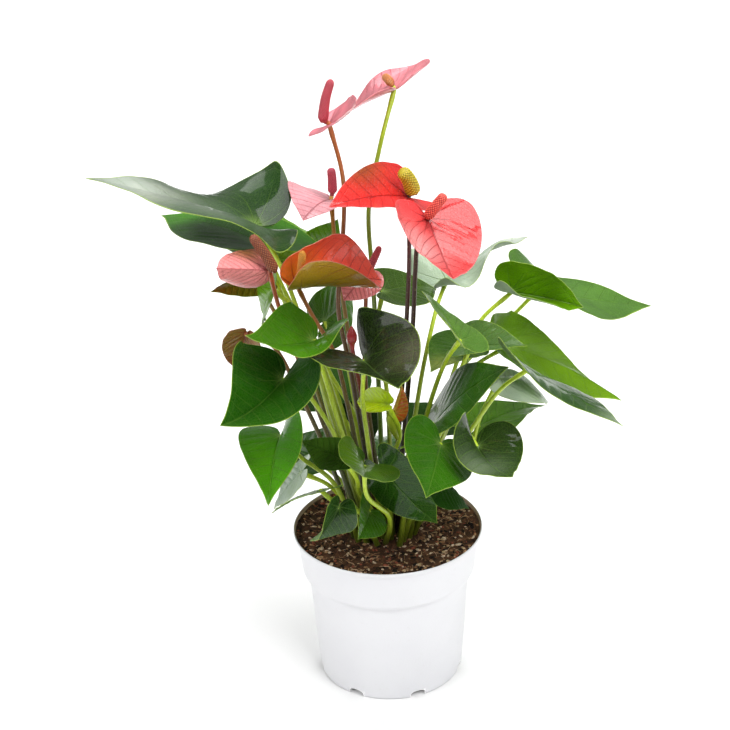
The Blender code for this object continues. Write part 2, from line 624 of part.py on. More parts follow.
def box(centre, size, turn):
    """Points and faces of a box turned about the z axis."""
    points = []
    for k in range(8):
        along = (k & 1 or -1) * size[0] / 2
        across = ((k >> 1) & 1 or -1) * size[1] / 2
        points.append((centre[0] + along * math.cos(turn) - across * math.sin(turn),
                       centre[1] + along * math.sin(turn) + across * math.cos(turn),
                       centre[2] + ((k >> 2) & 1 or -1) * size[2] / 2))
    faces = [(0, 2, 3, 1), (4, 5, 7, 6), (0, 1, 5, 4), (2, 6, 7, 3), (0, 4, 6, 2), (1, 3, 7, 5)]
    return points, faces


def make_pot():
    rim = POT_LIP_RADIUS
    lip = POT_HEIGHT - POT_LIP_HEIGHT
    profile = [(0, 0), (POT_PAD_RADIUS, 0), (POT_PAD_RADIUS + 1, POT_RECESS),
               (POT_SIDE[0][0] - POT_FOOT, POT_RECESS), (POT_SIDE[0][0] - POT_FOOT + 1, 0)]
    profile += list(POT_SIDE)
    profile += [(rim, lip), (rim, POT_HEIGHT)]
    inner = inner_side(POT_WALL)
    profile += [(inner[-1][0] + 1, POT_HEIGHT)] + inner[::-1] + [(0, POT_RECESS + POT_FLOOR)]
    pot = mesh_object("pot", *lathe(profile, POT_SIDES))
    cutters = []
    for k in range(NOTCH_COUNT):
        turn = math.radians(NOTCH_TURN) + 2 * math.pi * k / NOTCH_COUNT
        reach = POT_SIDE[0][0]
        centre = (reach * math.cos(turn), reach * math.sin(turn), 0)
        size = (4 * POT_FOOT, NOTCH_WIDTH, 2 * NOTCH_HEIGHT)
        cutters.append(mesh_object("notch", *box(centre, size, turn)))
    for k in range(DRAIN_COUNT):
        turn = 2 * math.pi * k / DRAIN_COUNT
        hole = prism(DRAIN_RADIUS, POT_RECESS - CUT_OVER, POT_RECESS + POT_FLOOR + CUT_OVER, DRAIN_SIDES,
                     DRAIN_RING * math.cos(turn), DRAIN_RING * math.sin(turn))
        cutters.append(mesh_object("drain", *hole))
    cut(pot, cutters)
    paint(pot, *WHITE_PLASTIC)


def soil_height(x, y):
    """Height of the soil's lumpy top between its flat middle and its edge."""
    r = np.hypot(x, y)
    share = np.clip((r - SOIL_FLAT) / (POT_SIDE[-1][0] - SOIL_FLAT), 0, 1)
    return SOIL_TOP + SOIL_BUMP * np.sin(math.pi * share) * np.sin(x / SOIL_LUMP + y / 8)


def make_soil(feet):
    side = [(r, z) for r, z in inner_side(POT_WALL + GAP) if z < SOIL_TOP]
    side[0] = (side[0][0], side[0][1] + GAP)
    radii, heights = zip(*inner_side(POT_WALL + GAP))
    brim = float(np.interp(SOIL_TOP, heights, radii))
    profile = side + [(r, SOIL_TOP) for r in np.linspace(brim, SOIL_FLAT, SOIL_RINGS + 2)]
    points, faces = lathe(profile, POT_SIDES)
    points = [(x, y, float(soil_height(x, y)) if z == SOIL_TOP else z) for x, y, z in points]
    faces.append(tuple(range(len(points) - POT_SIDES, len(points))))
    faces.append(tuple(range(POT_SIDES - 1, -1, -1)))
    soil = mesh_object("soil", points, faces)
    radius = STEM_FOOT_RADIUS + HOLE_GAP / math.cos(math.pi / STEM_SIDES)
    low, high = SOIL_TOP - HOLE_DEPTH, SOIL_TOP + SOIL_BUMP
    cut(soil, [mesh_object("hole", *prism(radius, low, high, STEM_SIDES, x, y))
               for x, y in feet])
    paint(soil, *DARK_SOIL)


def make_plant():
    """Leaves, blooms and spadices. Returns where the stems stand."""
    routes = stem_routes()
    for name, f in LEAVES.items():
        leaf = mesh_object(name, *blade_solid(f))
        join(leaf, [mesh_object("stem", *stem_solid(routes[name], f))])
        paint(leaf, *GREEN_LEAF)
    for name, (first, second, share) in PAIRS.items():
        f, g = PAIR_LEAVES[first], PAIR_LEAVES[second]
        pair = mesh_object(name, *blade_solid(f))
        join(pair, [mesh_object("stem", *stem_solid(routes[first], f)),
                    mesh_object("branch", *branch_solid(routes[first], share, g)),
                    mesh_object("blade", *blade_solid(g))])
        paint(pair, *LIME_LEAF)
    for name, f in BLOOMS.items():
        bloom = mesh_object(name, *blade_solid(f))
        join(bloom, [mesh_object("stem", *stem_solid(routes[name], f))])
        paint(bloom, *CORAL_BLOOM)
    for name, (bloom, end, foot, top) in SPADICES.items():
        spadix = mesh_object(name, *spadix_solid(bloom, end, foot, top))
        paint(spadix, *YELLOW_SPADIX)
    bud = mesh_object("bloom_bud", *bud_solid(routes["bud"]))
    paint(bud, *DARK_BUD)
    return [route[0][:2] for route in routes.values()]


for old in list(bpy.data.objects):
    bpy.data.objects.remove(old)
make_pot()
make_soil(make_plant())
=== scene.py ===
"""Looks of the potted anthurium, dressed over its plain solids."""

import json
import math

import bpy
import numpy as np
from mathutils import Matrix, Vector

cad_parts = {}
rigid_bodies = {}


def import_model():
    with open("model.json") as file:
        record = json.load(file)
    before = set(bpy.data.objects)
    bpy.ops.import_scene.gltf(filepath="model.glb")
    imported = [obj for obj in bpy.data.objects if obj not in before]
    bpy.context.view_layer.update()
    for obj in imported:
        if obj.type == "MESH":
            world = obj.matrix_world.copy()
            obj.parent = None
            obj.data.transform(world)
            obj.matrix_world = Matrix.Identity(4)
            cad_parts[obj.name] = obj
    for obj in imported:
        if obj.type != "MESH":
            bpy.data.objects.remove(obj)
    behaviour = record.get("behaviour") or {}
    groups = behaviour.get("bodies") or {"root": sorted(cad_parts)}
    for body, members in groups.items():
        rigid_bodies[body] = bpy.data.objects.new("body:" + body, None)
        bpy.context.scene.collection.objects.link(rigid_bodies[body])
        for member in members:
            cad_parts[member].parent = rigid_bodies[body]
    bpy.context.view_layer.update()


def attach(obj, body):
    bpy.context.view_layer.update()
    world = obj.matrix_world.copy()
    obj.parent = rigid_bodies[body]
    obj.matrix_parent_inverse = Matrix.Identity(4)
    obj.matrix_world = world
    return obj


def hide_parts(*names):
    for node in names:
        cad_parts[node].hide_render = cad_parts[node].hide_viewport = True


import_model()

MM = 0.001

# Pot, in mm. The pot stands on z = 0 and its axis is the z axis.
POT_WALL = 1.8
POT_FOOT = 5.0
POT_FLOOR = 3.5
POT_RECESS = 4.5
POT_PAD_RADIUS = 22.0
# Outer side of the plain solid pot from the foot to the lip: radius and height.
POT_SIDE = ((64.0, 0.0), (65.2, 2.0), (70.3, 72.0), (72.6, 96.0), (78.2, 106.0), (82.2, 138.0))
# Outer side of the fine pot from the foot to the top of the lip: foot, body, collar, lip.
POT_OUTSIDE = ((63.2, 0.0), (64.2, 0.5), (65.0, 1.6), (65.3, 3.0), (65.6, 7.4), (65.8, 9.6),
               (68.0, 36.0), (70.3, 72.0), (72.4, 96.0), (72.8, 99.5), (73.6, 101.6),
               (75.6, 103.4), (77.3, 104.6), (78.1, 106.2), (78.4, 108.5), (80.2, 122.0),
               (81.9, 136.6), (82.9, 140.0), (83.9, 140.9), (84.9, 141.4), (85.4, 142.2),
               (85.5, 143.4), (85.3, 144.5), (84.9, 145.0), (84.5, 145.0))
# Inner side from the lip down, then places by the outer side that it follows, a wall farther in.
POT_INSIDE = ((84.2, 144.6), (83.9, 143.5), (82.6, 139.5), (80.6, 136.0))
POT_FOLLOWED = ((78.4, 108.5), (77.3, 104.6), (73.0, 100.0), (70.3, 72.0))
# Inner edge of the foot ring: how far out from the recess, and height.
POT_FOOT_EDGE = ((0.0, POT_RECESS), (1.0, 0.4), (1.6, 0.0))
POT_FINE_SIDES = 160
POT_SHARP_ANGLE = 28.0
POT_WHITE = (226, 226, 229)
POT_STAIN = (228, 198, 186)
NOTCH_COUNT = 7
NOTCH_TURN = -95.3
NOTCH_HALF_WIDTH = 7.2
NOTCH_RISE = 3.4
NOTCH_DROP = 2.0
NOTCH_REACH = 9.0
NOTCH_STEPS = 12

# Soil, in mm. Each wave: height, seed, how many, least and most turns in the span. The tone's
# wave has no height.
SOIL_TOP = 137.0
SOIL_RISE = 3.2
SOIL_WAVES = ((1.2, 5, 8, 1.5, 4.0), (1.1, 6, 10, 5.0, 12.0), (0.7, 7, 12, 14.0, 26.0))
SOIL_TONE_WAVE = (9, 8, 3, 9)
WAVE_SPAN = 100.0
SOIL_TONE_POWER = 1.8
SOIL_RING_POWER = 0.8
SOIL_BRIM = 83.0
SOIL_BRIM_RISE = 1.6
SOIL_BRIM_WIDTH = 14.0
SOIL_BRIM_START = 68.0
SOIL_CUFF = 1.1
SOIL_CUFF_WIDTH = 5.5
SOIL_LOW = 118.0
SOIL_LOW_SHARE = 0.9
SOIL_FINE_RINGS = 64
SOIL_FINE_SIDES = 220
SOIL_DARK = (40, 26, 18)
SOIL_LIGHT = (124, 86, 60)
GAP = 0.3

# Bark chips and fibres in the peat, in mm.
BITS_SEED = 11
CHIP_COUNT = 1700
CHIP_RANGE = 81.5
CHIP_LIFT = 0.15
CHIP_SIZES = (0.7, 2.2)
CHIP_STRETCH = (0.8, 1.5)
CHIP_WIDTHS = (0.4, 0.8)
CHIP_HEIGHTS = (0.25, 0.5)
CHIP_ROUGH = 0.25
CHIP_TILT = 0.5
CHIP_FORM = ((0, -1), (0.75, -0.6), (1, 0), (0.75, 0.6), (0, 1))
CHIP_SIDES = 7
CHIP_TONES = ((140, 104, 76), (176, 140, 106), (104, 70, 48), (30, 20, 15), (226, 204, 178),
              (150, 86, 66), (66, 42, 30), (24, 16, 12), (200, 172, 138))
FIBRE_COUNT = 620
FIBRE_RANGE = 78.0
FIBRE_LIMIT = 80.5
FIBRE_CLEAR = 3.6
FIBRE_LENGTHS = (4.0, 13.0)
FIBRE_BEND = 0.8
FIBRE_LIFTS = (-0.2, 1.2)
FIBRE_RADII = (0.18, 0.42)
FIBRE_POINTS = 6
FIBRE_SIDES = 6
FIBRE_TONES = ((170, 134, 100), (206, 176, 144), (128, 88, 62), (90, 58, 40))

# Stems, in mm. They stand in plain holes in the soil.
HOLE_DEPTH = 12.0
STEM_RUN = 72.0
STEM_FOOT_RADIUS = 2.5
STEM_TOP_RADIUS = 1.9
STEM_POKE = -0.4
BLOOM_POKE = 2.8
STEM_RISE = 4.0
VIA_SHARE = np.array([0.40, 0.40, 0.58])
ARRIVE_UP = 0.75
ARRIVE_ALONG = 0.45
LEAD_MOST = 16.0
LEAD_LEAST = 4.0
LEAD_SHARE = 0.2
BRANCH_RADIUS = 1.7
CROWN_RADIUS = 36.0
CROWN_SHARE = 0.22
CROWN_SPACING = 7.6
CROWN_LEAN = 25.0
CROWN_ROUNDS = 200
GOLDEN_ANGLE = math.pi * (3 - math.sqrt(5))
STEM_CLEAR = 7.8
BLADE_CLEAR = 7.0
ROUTE_POINTS = 22
CLEAR_ROUNDS = 80
CLEAR_RENEW = 10
CLEAR_RANGE = 18.0
CLEAR_PUSH = 0.25
CLEAR_STEP = 1.5
CLEAR_LATE = 0.8
CLEAR_GRID = (8, 4)

# Blades. Outlines are half hearts: along the midrib and out from it, in blade lengths.
LOBE_REACH = 0.26
HALF_WIDTH = 0.45
FOLD_FRONT = 0.7
WAVES = 2.2 * math.pi
FACE_UP = np.array([0.0, -0.3, 1.0])
LEAF_HALF = ((-0.10, 0.02), (-0.20, 0.085), (-0.265, 0.19), (-0.235, 0.33), (-0.09, 0.43),
             (0.12, 0.46), (0.34, 0.41), (0.56, 0.295), (0.76, 0.155), (0.90, 0.055), (1.0, 0.0))
SPATHE_HALF = ((-0.07, 0.02), (-0.17, 0.085), (-0.225, 0.20), (-0.195, 0.34), (-0.06, 0.45),
               (0.15, 0.49), (0.38, 0.45), (0.60, 0.345), (0.80, 0.20), (0.92, 0.075), (1.0, 0.0))

# Fine stems, in mm.
FINE_SIDES = 14
STALK_DEPTH = 8.0
STALK_STEP = 5.0
STALK_FEWEST = 14
STALK_SLIMMER = 0.15
STALK_FLARE = 0.5
STALK_FLARE_LENGTH = 9.0
STALK_SWELL = 0.5
STALK_SWELL_BACK = 9.0
STALK_SWELL_LENGTH = 6.0
STALK_FADE = 2.5
# Painted shade on leaf stalks: their colour is scaled by the first factor at the foot, rising by
# the second to the top.
STALK_FOOT_SHADE = 0.16
STALK_SHADE_LIFT = 0.94
BRANCH_POINTS = 18
SHEATH_SWELL = 2.2
SHEATH_START = 0.4

# Fine blades: rings as shares of the way to the margin, veins by blade lengths, relief in mm.
FINE_RAYS = 46
FINE_RINGS = (0.07, 0.15, 0.23, 0.31, 0.39, 0.47, 0.55, 0.63, 0.71, 0.79, 0.86, 0.91, 0.95, 0.98,
              0.993, 1.0)
VEINS_ALONG = 7.5
VEIN_SLANT = 0.55
VEIN_BEND = 0.5
VEIN_SHIFT = 0.3
VEIN_ACROSS = 0.8
BASAL_STEP = math.radians(36)
FINE_THICK = 0.75
THIN_EDGE = 0.4
QUILT = 0.4
YOUNG_QUILT = 0.25
QUILT_BACK = 0.1
QUILT_FADE_IN = 0.3
QUILT_FADE_OUT = 0.2
BILLOW = 1.4
BILLOW_PACE = 1.2
FRILL = 0.9
FRILL_PACE = 2.2
GROOVE = 0.35
GROOVE_WIDTH = 1.1
KEEL = 1.3
KEEL_WIDTH = 1.3
STALK_SPOT = 0.055
STALK_SPOT_SHARE = 0.55
TONE_UNEVEN = 0.16
TONE_PACE = 0.8
SEED_STEP = 10
PAIR_SEEDS = (700, 720)
BLOOM_SEED = 900

# Spadices, in mm, with their florets.
SPADIX_BOW = 1.5
SPADIX_TIP = 0.86
SPADIX_TIP_ROUND = 0.985
SPADIX_WAIST = 0.35
SPADIX_WAIST_END = 0.03
STIPE = 3.4
STIPE_RADIUS = 1.938
FLORET_ROWS = 110
FLORET_SIDES = 84
FLORETS_AROUND = 12
FLORET_PITCH = 2.8
FLORET_RELIEF = 0.75
FLORET_BARE_END = 0.995
# Painted light on the florets: shade in the gaps between them, lighter tops, and a painted
# highlight on each top.
FLORET_GAP_SHADE = 0.3
FLORET_TOP_LIGHT = 0.95
FLORET_HIGHLIGHT = (245, 225, 150)
FLORET_HIGHLIGHT_SHARE = 0.4


def blade(at, tip, roll=0, width=1.0, fold=(10, 10, 10, 10), arch=20, lobes=12, twist=0,
          wave=(0, 0), phase=0, curl=0, via=(), half=LEAF_HALF):
    """A heart-shaped blade from its stalk end to its tip, in mm, with its bends in degrees.

    roll turns it about that line from facing up. fold lifts the left side at the tip and at the
    lobes, then the right side. wave moves the edges up and down by shares of the length.
    """
    return {"at": at, "tip": tip, "roll": roll, "width": width, "fold": fold, "arch": arch,
            "lobes": lobes, "twist": twist, "wave": wave, "phase": phase, "curl": curl,
            "via": via, "half": half}


LEAVES = {
    # Upper left.
    "leaf_01": blade((-104, 5, 436), (-239, -12, 489), -11, 1.24, (40, 30, -22, 32), 11, 42, -18,
                     (-0.05, 0.09), 180, -25, via=((-75, -41, 396), (-86, -32, 422))),
    "leaf_02": blade((-100, 22, 413), (-193, 102, 411), -15, 1.1, (10, 15, -5, -10), 20, 15, -10),
    "leaf_03": blade((-97, 50, 384), (-139, 100, 379), -15, 1.0, (15, 20, 15, 10), 35, 5),
    "leaf_04": blade((-99, 125, 382), (-67, 185, 360), -10, 1.0, (15, 20, 10, 10), 20, 10, -5),
    "leaf_05": blade((-51, 81, 370), (-35, 63, 417), -55, 1.1, (10, 30, -5, -5), 10, 10),
    # Upper right.
    "leaf_06": blade((60, 85, 346), (138, 130, 368), 16, 1.2, (-19, -4, 19, 34), 35, 37, 0,
                     (0.18, -0.12), 80, via=((49, 45, 333),)),
    "leaf_07": blade((115, 49, 348), (180, 54, 329), -24, 1.2, (49, 60, 57, 60), 19, 2, 32,
                     (0.02, 0.12), -135, 19, via=((60, 24, 240), (82, 42, 318), (104, 36, 340))),
    "leaf_08": blade((147, 120, 320), (256, 150, 286), 20, 1.08, (5, 15, -5, 10), -10, 25, 5,
                     (-0.06, 0), -20, via=((50, 60, 240), (118, 118, 290))),
    "leaf_09": blade((112, 44, 299), (213, 30, 248), 32, 1.22, (-11, -6, -47, -18), 20, 78, -12,
                     (0.01, 0.03), 180, 44, via=((84, 28, 295),)),
    "leaf_10": blade((117, -80, 334), (187, -150, 316), 35, 1.05, (-5, -10, 0, 30), 5, 15, 5,
                     via=((72, -40, 258), (95, -55, 300), (102, -60, 318))),
    "leaf_11": blade((61, -102, 373), (33, -56, 398), -45, 1.05, (5, 20, 0, 25), 20, 15,
                     via=((35, -38, 266), (50, -60, 331))),
    "leaf_12": blade((75, -15, 327), (120, -50, 342), 5, 0.9, (15, 45, 10, 10), 5, 10, -10),
    "leaf_13": blade((70, 28, 307), (40, -20, 306), 0, 1.0, (10, 5, 10, 10), 15, 20, 10,
                     via=((44, 16, 245),)),
    # Middle and low right.
    "leaf_14": blade((42, -45, 270), (102, -80, 338), 5, 1.05, (5, 5, -5, 25), 25, 10, 10),
    "leaf_15": blade((102, 10, 284), (147, 46, 237), 0, 1.1, (-10, -60, 5, 5), 60, 0, 10,
                     via=((74, 7, 212),)),
    "leaf_16": blade((86, 34, 225), (149, 72, 224), 20, 1.0, (10, 10, 10, -5), 25, 10, -5,
                     via=((60, 11, 189),)),
    "leaf_17": blade((74, -107, 279), (98, -170, 284), 25, 1.15, (20, 45, -10, 55), -30, 5, 5,
                     via=((56, -60, 285),)),
    "leaf_18": blade((44, -108, 283), (29, -182, 275), 25, 0.95, (-10, -10, -5, 15), 15, 15, 5),
    "leaf_19": blade((-2, -65, 234), (43, -50, 174), -75, 0.86, (40, 22, -32, -42), 41, -25, -28,
                     (-0.04, -0.05)),
    "leaf_20": blade((46, -70, 223), (70, -58, 192), 5, 1.08, (-5, -15, -10, -30), 25, 10),
    "leaf_21": blade((-19, -95, 258), (-20, -150, 277), 25, 1.12, (-5, 20, 0, 40), 10, 10,
                     via=((-3, -70, 199), (-24, -92, 237))),
    "leaf_22": blade((-35, -85, 258), (-72, -60, 265), 15, 0.9, (-5, 35, 0, -10), 10, 15, -15,
                     via=((-26, -42, 205),)),
    # Left and front.
    "leaf_23": blade((-83, -90, 338), (-130, -167, 337), -16, 1.13, (0, 28, 56, 52), -32, 33, -20,
                     via=((-44, -45, 264), (-61, -50, 300))),
    "leaf_24": blade((-89, -65, 273), (-98, -141, 249), -5, 0.9, (25, 70, 15, 10), 40, -10, -15),
    "leaf_25": blade((-76, -12, 208), (-102, -2, 166), -10, 1.0, (0, 0, 0, -5), 20, 10, -5),
    "leaf_26": blade((-57, -80, 228), (-100, -68, 200), -35, 1.0, (0, 5, -5, -10), 30, 10),
    "leaf_27": blade((-57, -80, 367), (-108, -140, 401), -44, 0.92, (-22, 5, 55, 84), -31, 33,
                     -20, (0.08, 0.01), 60, via=((-50, -60, 325),)),
    "leaf_28": blade((-16, -100, 357), (9, -198, 379), 10, 1.04, (31, 90, 7, 5), -7, 16, -20,
                     (0.05, -0.03), -100, via=((-13, -40, 228),)),
    "leaf_29": blade((-90, -25, 390), (-100, 10, 346), 65, 1.0, (10, 15, 20, 15), 30, 10, -5),
    # Inside and behind, as far as the front shows them.
    "leaf_32": blade((2, 25, 364), (51, 80, 340), -5, 0.97, (5, -15, 5, 10), 25, 15, 5),
    "leaf_33": blade((-50, 45, 328), (-25, 110, 329), -65, 0.84, (10, 0, 5, 5), 30, 10),
    # The side that the front hardly shows.
    "leaf_34": blade((-50, 75, 235), (-85, 165, 215), 0, 1.0, (15, 15, 15, 15), 25,
                     via=((-22, 41, 208),)),
    "leaf_35": blade((-26, 65, 209), (-19, 110, 244), 15, 1.0, (15, 20, 15, 20), 30),
    "leaf_36": blade((48, 80, 200), (85, 155, 175), 5, 1.0, (10, 15, 15, 15), 30),
    "leaf_37": blade((-60, 50, 185), (-110, 120, 165), 0, 1.0, (15, 15, 10, 15), 25),
    "leaf_38": blade((0, 75, 180), (0, 150, 155), 0, 1.0, (15, 15, 15, 15), 30),
    # Bronze young leaf below the left bloom.
    "leaf_39": blade((-106, 30, 374), (-145, 5, 377), -10, 1.0, (-10, -5, -15, -20), 10, 10, -10),
}

# Two leaves on one foot: the second's stem leaves the first's at this share of its route.
PAIRS = {
    "young_leaves": ("low_left", "low_right", 0.45),
    "young_shoot": ("lime_leaf", "bronze_sheath", 0.75),
}
PAIR_LEAVES = {
    "low_left": blade((-42, -84, 213), (-68, -76, 176), 115, 0.95, (30, 85, 25, 15), 45, 0, -15),
    "low_right": blade((-16, -55, 191), (-27, -95, 187), 55, 1.1, (10, 15, 15, 20), 20, 15),
    "lime_leaf": blade((2, -48, 291), (-24, -21, 281), 35, 0.87, (30, 45, 40, 60), 30, 15),
    "bronze_sheath": blade((8, -41, 279), (15, -44, 307), 180, 0.8, (45, 45, 45, 45), 10, 10),
}

BLOOMS = {
    "bloom_01": blade((-38, -18, 530), (-16, -62, 561), -40, 0.8, (0, -10, 25, 35), -15, 30,
                      via=((-33, -10, 349), (-36, -10, 373), (-29, -10, 434)), half=SPATHE_HALF),
    "bloom_02": blade((16, 22, 545), (-21, 86, 508), 13, 1.09, (11, 12, 12, -7), 15, 45, -9,
                      (-0.01, -0.06), -56,
                      via=((-5, 10, 356), (-6, 10, 381), (-9, 10, 413), (-8, 10, 446),
                           (-3, 0, 492)), half=SPATHE_HALF),
    "bloom_03": blade((24, -30, 470), (-40, -81, 483), 20, 0.76, (30, 25, 15, 15), 30, 10,
                      via=((21, -15, 356), (24, -28, 440)), half=SPATHE_HALF),
    "bloom_04": blade((37, -104, 479), (53, -158, 450), -12, 1.25, (-34, -14, 56, 44), -46, -25,
                      12, (0.01, -0.15), -131, 8, via=((26, -25, 356), (30, -56, 444)),
                      half=SPATHE_HALF),
    "bloom_05": blade((-68, -65, 408), (1, -17, 392), -16, 1.15, (20, 48, 12, 47), 24, 12,
                      curl=64, via=((-50, -40, 363),), half=SPATHE_HALF),
    "bloom_06": blade((-12, 5, 390), (-32, -12, 372), 35, 1.2, (10, 10, 10, 10), 10, 10, -5,
                      via=((-16, -2, 300),), half=SPATHE_HALF),
    "bloom_07": blade((-90, -75, 428), (-129, -111, 446), 57, 0.96, (-55, -36, -32, -21), -9, -36,
                      9, curl=-38, via=((-85, -61, 391),), half=SPATHE_HALF),
    "bloom_08": blade((-40, 45, 442), (-63, -13, 446), 0, 1.19, (20, 20, 20, 10), 30, 10, -5,
                      via=((-39, 20, 423),), half=SPATHE_HALF),
    # The aged bloom at the far left.
    "bloom_09": blade((-113, -50, 362), (-125, -39, 325), 85, 1.0, (20, 50, 25, 30), 10, 25,
                      half=SPATHE_HALF),
}
# Spadix of each bloom: end point, radius at its foot and at its top.
SPADICES = {
    "spadix_01": ("bloom_01", (-35, -14, 566), 4.4, 3.2),
    "spadix_02": ("bloom_02", (9, 50, 547), 3.6, 2.8),
    "spadix_03": ("bloom_03", (19, -42, 497), 6.6, 5.2),
    "spadix_04": ("bloom_04", (50, -114, 502), 4.2, 3.7),
    "spadix_05": ("bloom_05", (-62, -92, 450), 3.3, 2.8),
    "spadix_06": ("bloom_06", (0, -12, 420), 3.6, 2.4),
    "spadix_07": ("bloom_07", (-102, -84, 462), 4.6, 3.6),
    "spadix_08": ("bloom_08", (-39, 42, 471), 4.0, 3.4),
}
# Closed bud: the same kind of entry, with the radii of its body from the stalk to its point.
BUD = {"at": (-26, -30, 335), "tip": (-26, -30, 356), "via": ()}
BUD_RADII = (2.4, 4.4, 4.6, 3.2, 0.9)
BUD_STEM_FOOT = 2.4
BUD_STEM_POINTS = 40
BUD_POINTS = 25
BUD_NECK = 0.1
BUD_RED = (150, 24, 30)

# Colours, as screen values. Where a blade has none of its own, it has MID and UNDER.
DEEP = (24, 66, 0)
MID = (46, 96, 0)
BRIGHT = (92, 144, 0)
UNDER = (74, 112, 40)
# Pale grey-green that paints a silvery sheen into a blade's colour.
PAINTED_SHEEN = (152, 172, 150)
PETIOLE = (190, 216, 50)
PALE_VEIN = (150, 184, 96)
SHEATH = (150, 168, 40)
UPPER_SIDES = {
    "leaf_01": (16, 50, 4), "leaf_02": (56, 122, 0), "leaf_03": (138, 180, 0),
    "leaf_04": BRIGHT, "leaf_05": BRIGHT, "leaf_06": PAINTED_SHEEN, "leaf_07": (96, 148, 0),
    "leaf_08": (72, 112, 40), "leaf_09": (90, 130, 0), "leaf_10": (22, 62, 0),
    "leaf_11": (78, 118, 40), "leaf_12": (70, 104, 44), "leaf_13": (50, 86, 20),
    # leaf_15 below, on both sides: a very pale grey-green that paints a silvery sheen.
    "leaf_14": (36, 86, 0), "leaf_15": (196, 212, 192), "leaf_16": BRIGHT,
    "leaf_17": (34, 58, 14), "leaf_18": (44, 98, 0), "leaf_19": DEEP, "leaf_20": DEEP,
    "leaf_21": (78, 118, 22), "leaf_22": (58, 92, 20), "leaf_23": (24, 78, 0),
    "leaf_24": (66, 138, 0), "leaf_25": PAINTED_SHEEN, "leaf_26": (84, 124, 40),
    "leaf_27": (56, 112, 0), "leaf_28": (12, 26, 0), "leaf_29": BRIGHT,
    # leaf_34, leaf_35 and leaf_36 below: dark and near-black greens that paint the shade deep
    # inside the plant.
    "leaf_32": (44, 72, 0), "leaf_33": (62, 112, 0), "leaf_34": (30, 64, 0),
    "leaf_35": (14, 34, 0), "leaf_36": (30, 64, 0), "leaf_39": (130, 116, 14),
    "low_left": (22, 62, 0), "low_right": (54, 108, 0), "lime_leaf": (196, 226, 0),
    "bronze_sheath": (180, 66, 22), "bloom_01": (224, 124, 138), "bloom_02": (224, 124, 136),
    "bloom_03": (226, 38, 36), "bloom_04": (218, 44, 46), "bloom_05": (255, 98, 76),
    "bloom_06": (255, 150, 152), "bloom_07": (250, 152, 154), "bloom_08": (240, 168, 178),
    "bloom_09": (132, 100, 34),
}
UNDERSIDES = {
    "leaf_01": (36, 64, 24), "leaf_06": PAINTED_SHEEN, "leaf_07": PAINTED_SHEEN, "leaf_08": PAINTED_SHEEN,
    # leaf_15 below: a very pale grey-green that paints a silvery sheen.
    "leaf_09": BRIGHT, "leaf_11": (140, 168, 90), "leaf_15": (196, 212, 192),
    "leaf_25": PAINTED_SHEEN, "leaf_28": (92, 96, 78), "leaf_32": DEEP, "leaf_33": (62, 112, 0),
    # leaf_35 below: a near-black green that paints the shade deep inside the plant.
    "leaf_35": (14, 34, 0), "leaf_39": (150, 96, 44), "lime_leaf": (206, 230, 30),
    "bronze_sheath": (200, 90, 36), "bloom_01": (232, 128, 130), "bloom_02": (226, 122, 134),
    "bloom_03": (226, 56, 46), "bloom_04": (224, 66, 66), "bloom_05": (156, 124, 20),
    "bloom_06": (250, 146, 148), "bloom_07": (248, 148, 150), "bloom_08": (238, 160, 168),
    "bloom_09": (140, 96, 34),
}
# Colour patches: side, place along and out to the left, reach, colour and strength.
# The grey and whitish patches of leaf_01, leaf_06, leaf_17 and leaf_28 and the pale pink one of
# bloom_04 are painted sheen and highlights.
PATCHES = {
    "leaf_01": (("top", 0.3, 0.2, 0.25, (150, 164, 150), 0.3),
                ("top", 0.75, -0.02, 0.26, (200, 208, 198), 0.8)),
    "leaf_06": (("both", 0.85, 0.0, 0.3, (212, 218, 210), 0.8),),
    "leaf_07": (("top", 0.1, -0.3, 0.25, (60, 100, 20), 0.7),),
    "leaf_10": (("top", 0.95, 0.1, 0.18, (150, 170, 138), 0.7),),
    "leaf_13": (("top", 0.75, 0.1, 0.22, (170, 180, 90), 0.7),),
    "leaf_16": (("top", 0.7, -0.1, 0.22, (140, 168, 116), 0.5),),
    "leaf_17": (("top", 0.5, -0.15, 0.25, (130, 144, 120), 0.5),),
    "leaf_28": (("top", 0.45, 0.3, 0.2, (118, 112, 96), 0.35),),
    "leaf_39": (("top", 0.9, 0.0, 0.35, (176, 84, 30), 0.8),),
    "bloom_03": (("top", 0.5, -0.45, 0.28, (96, 78, 22), 0.75),),
    "bloom_04": (("top", 0.5, -0.32, 0.34, (240, 176, 176), 0.7),),
    "bloom_05": (("top", -0.02, 0.15, 0.28, (236, 150, 30), 0.85),
                 ("low", 0.85, -0.2, 0.35, (206, 60, 40), 0.85)),
    "bloom_07": (("both", 0.2, -0.4, 0.2, (236, 160, 60), 0.6),),
    "bloom_09": (("both", 0.9, 0.0, 0.3, (150, 50, 26), 0.8),),
}
# Leaves deep inside, which catch no gloss.
INNER = ("leaf_34", "leaf_35", "leaf_36", "leaf_20", "leaf_22")
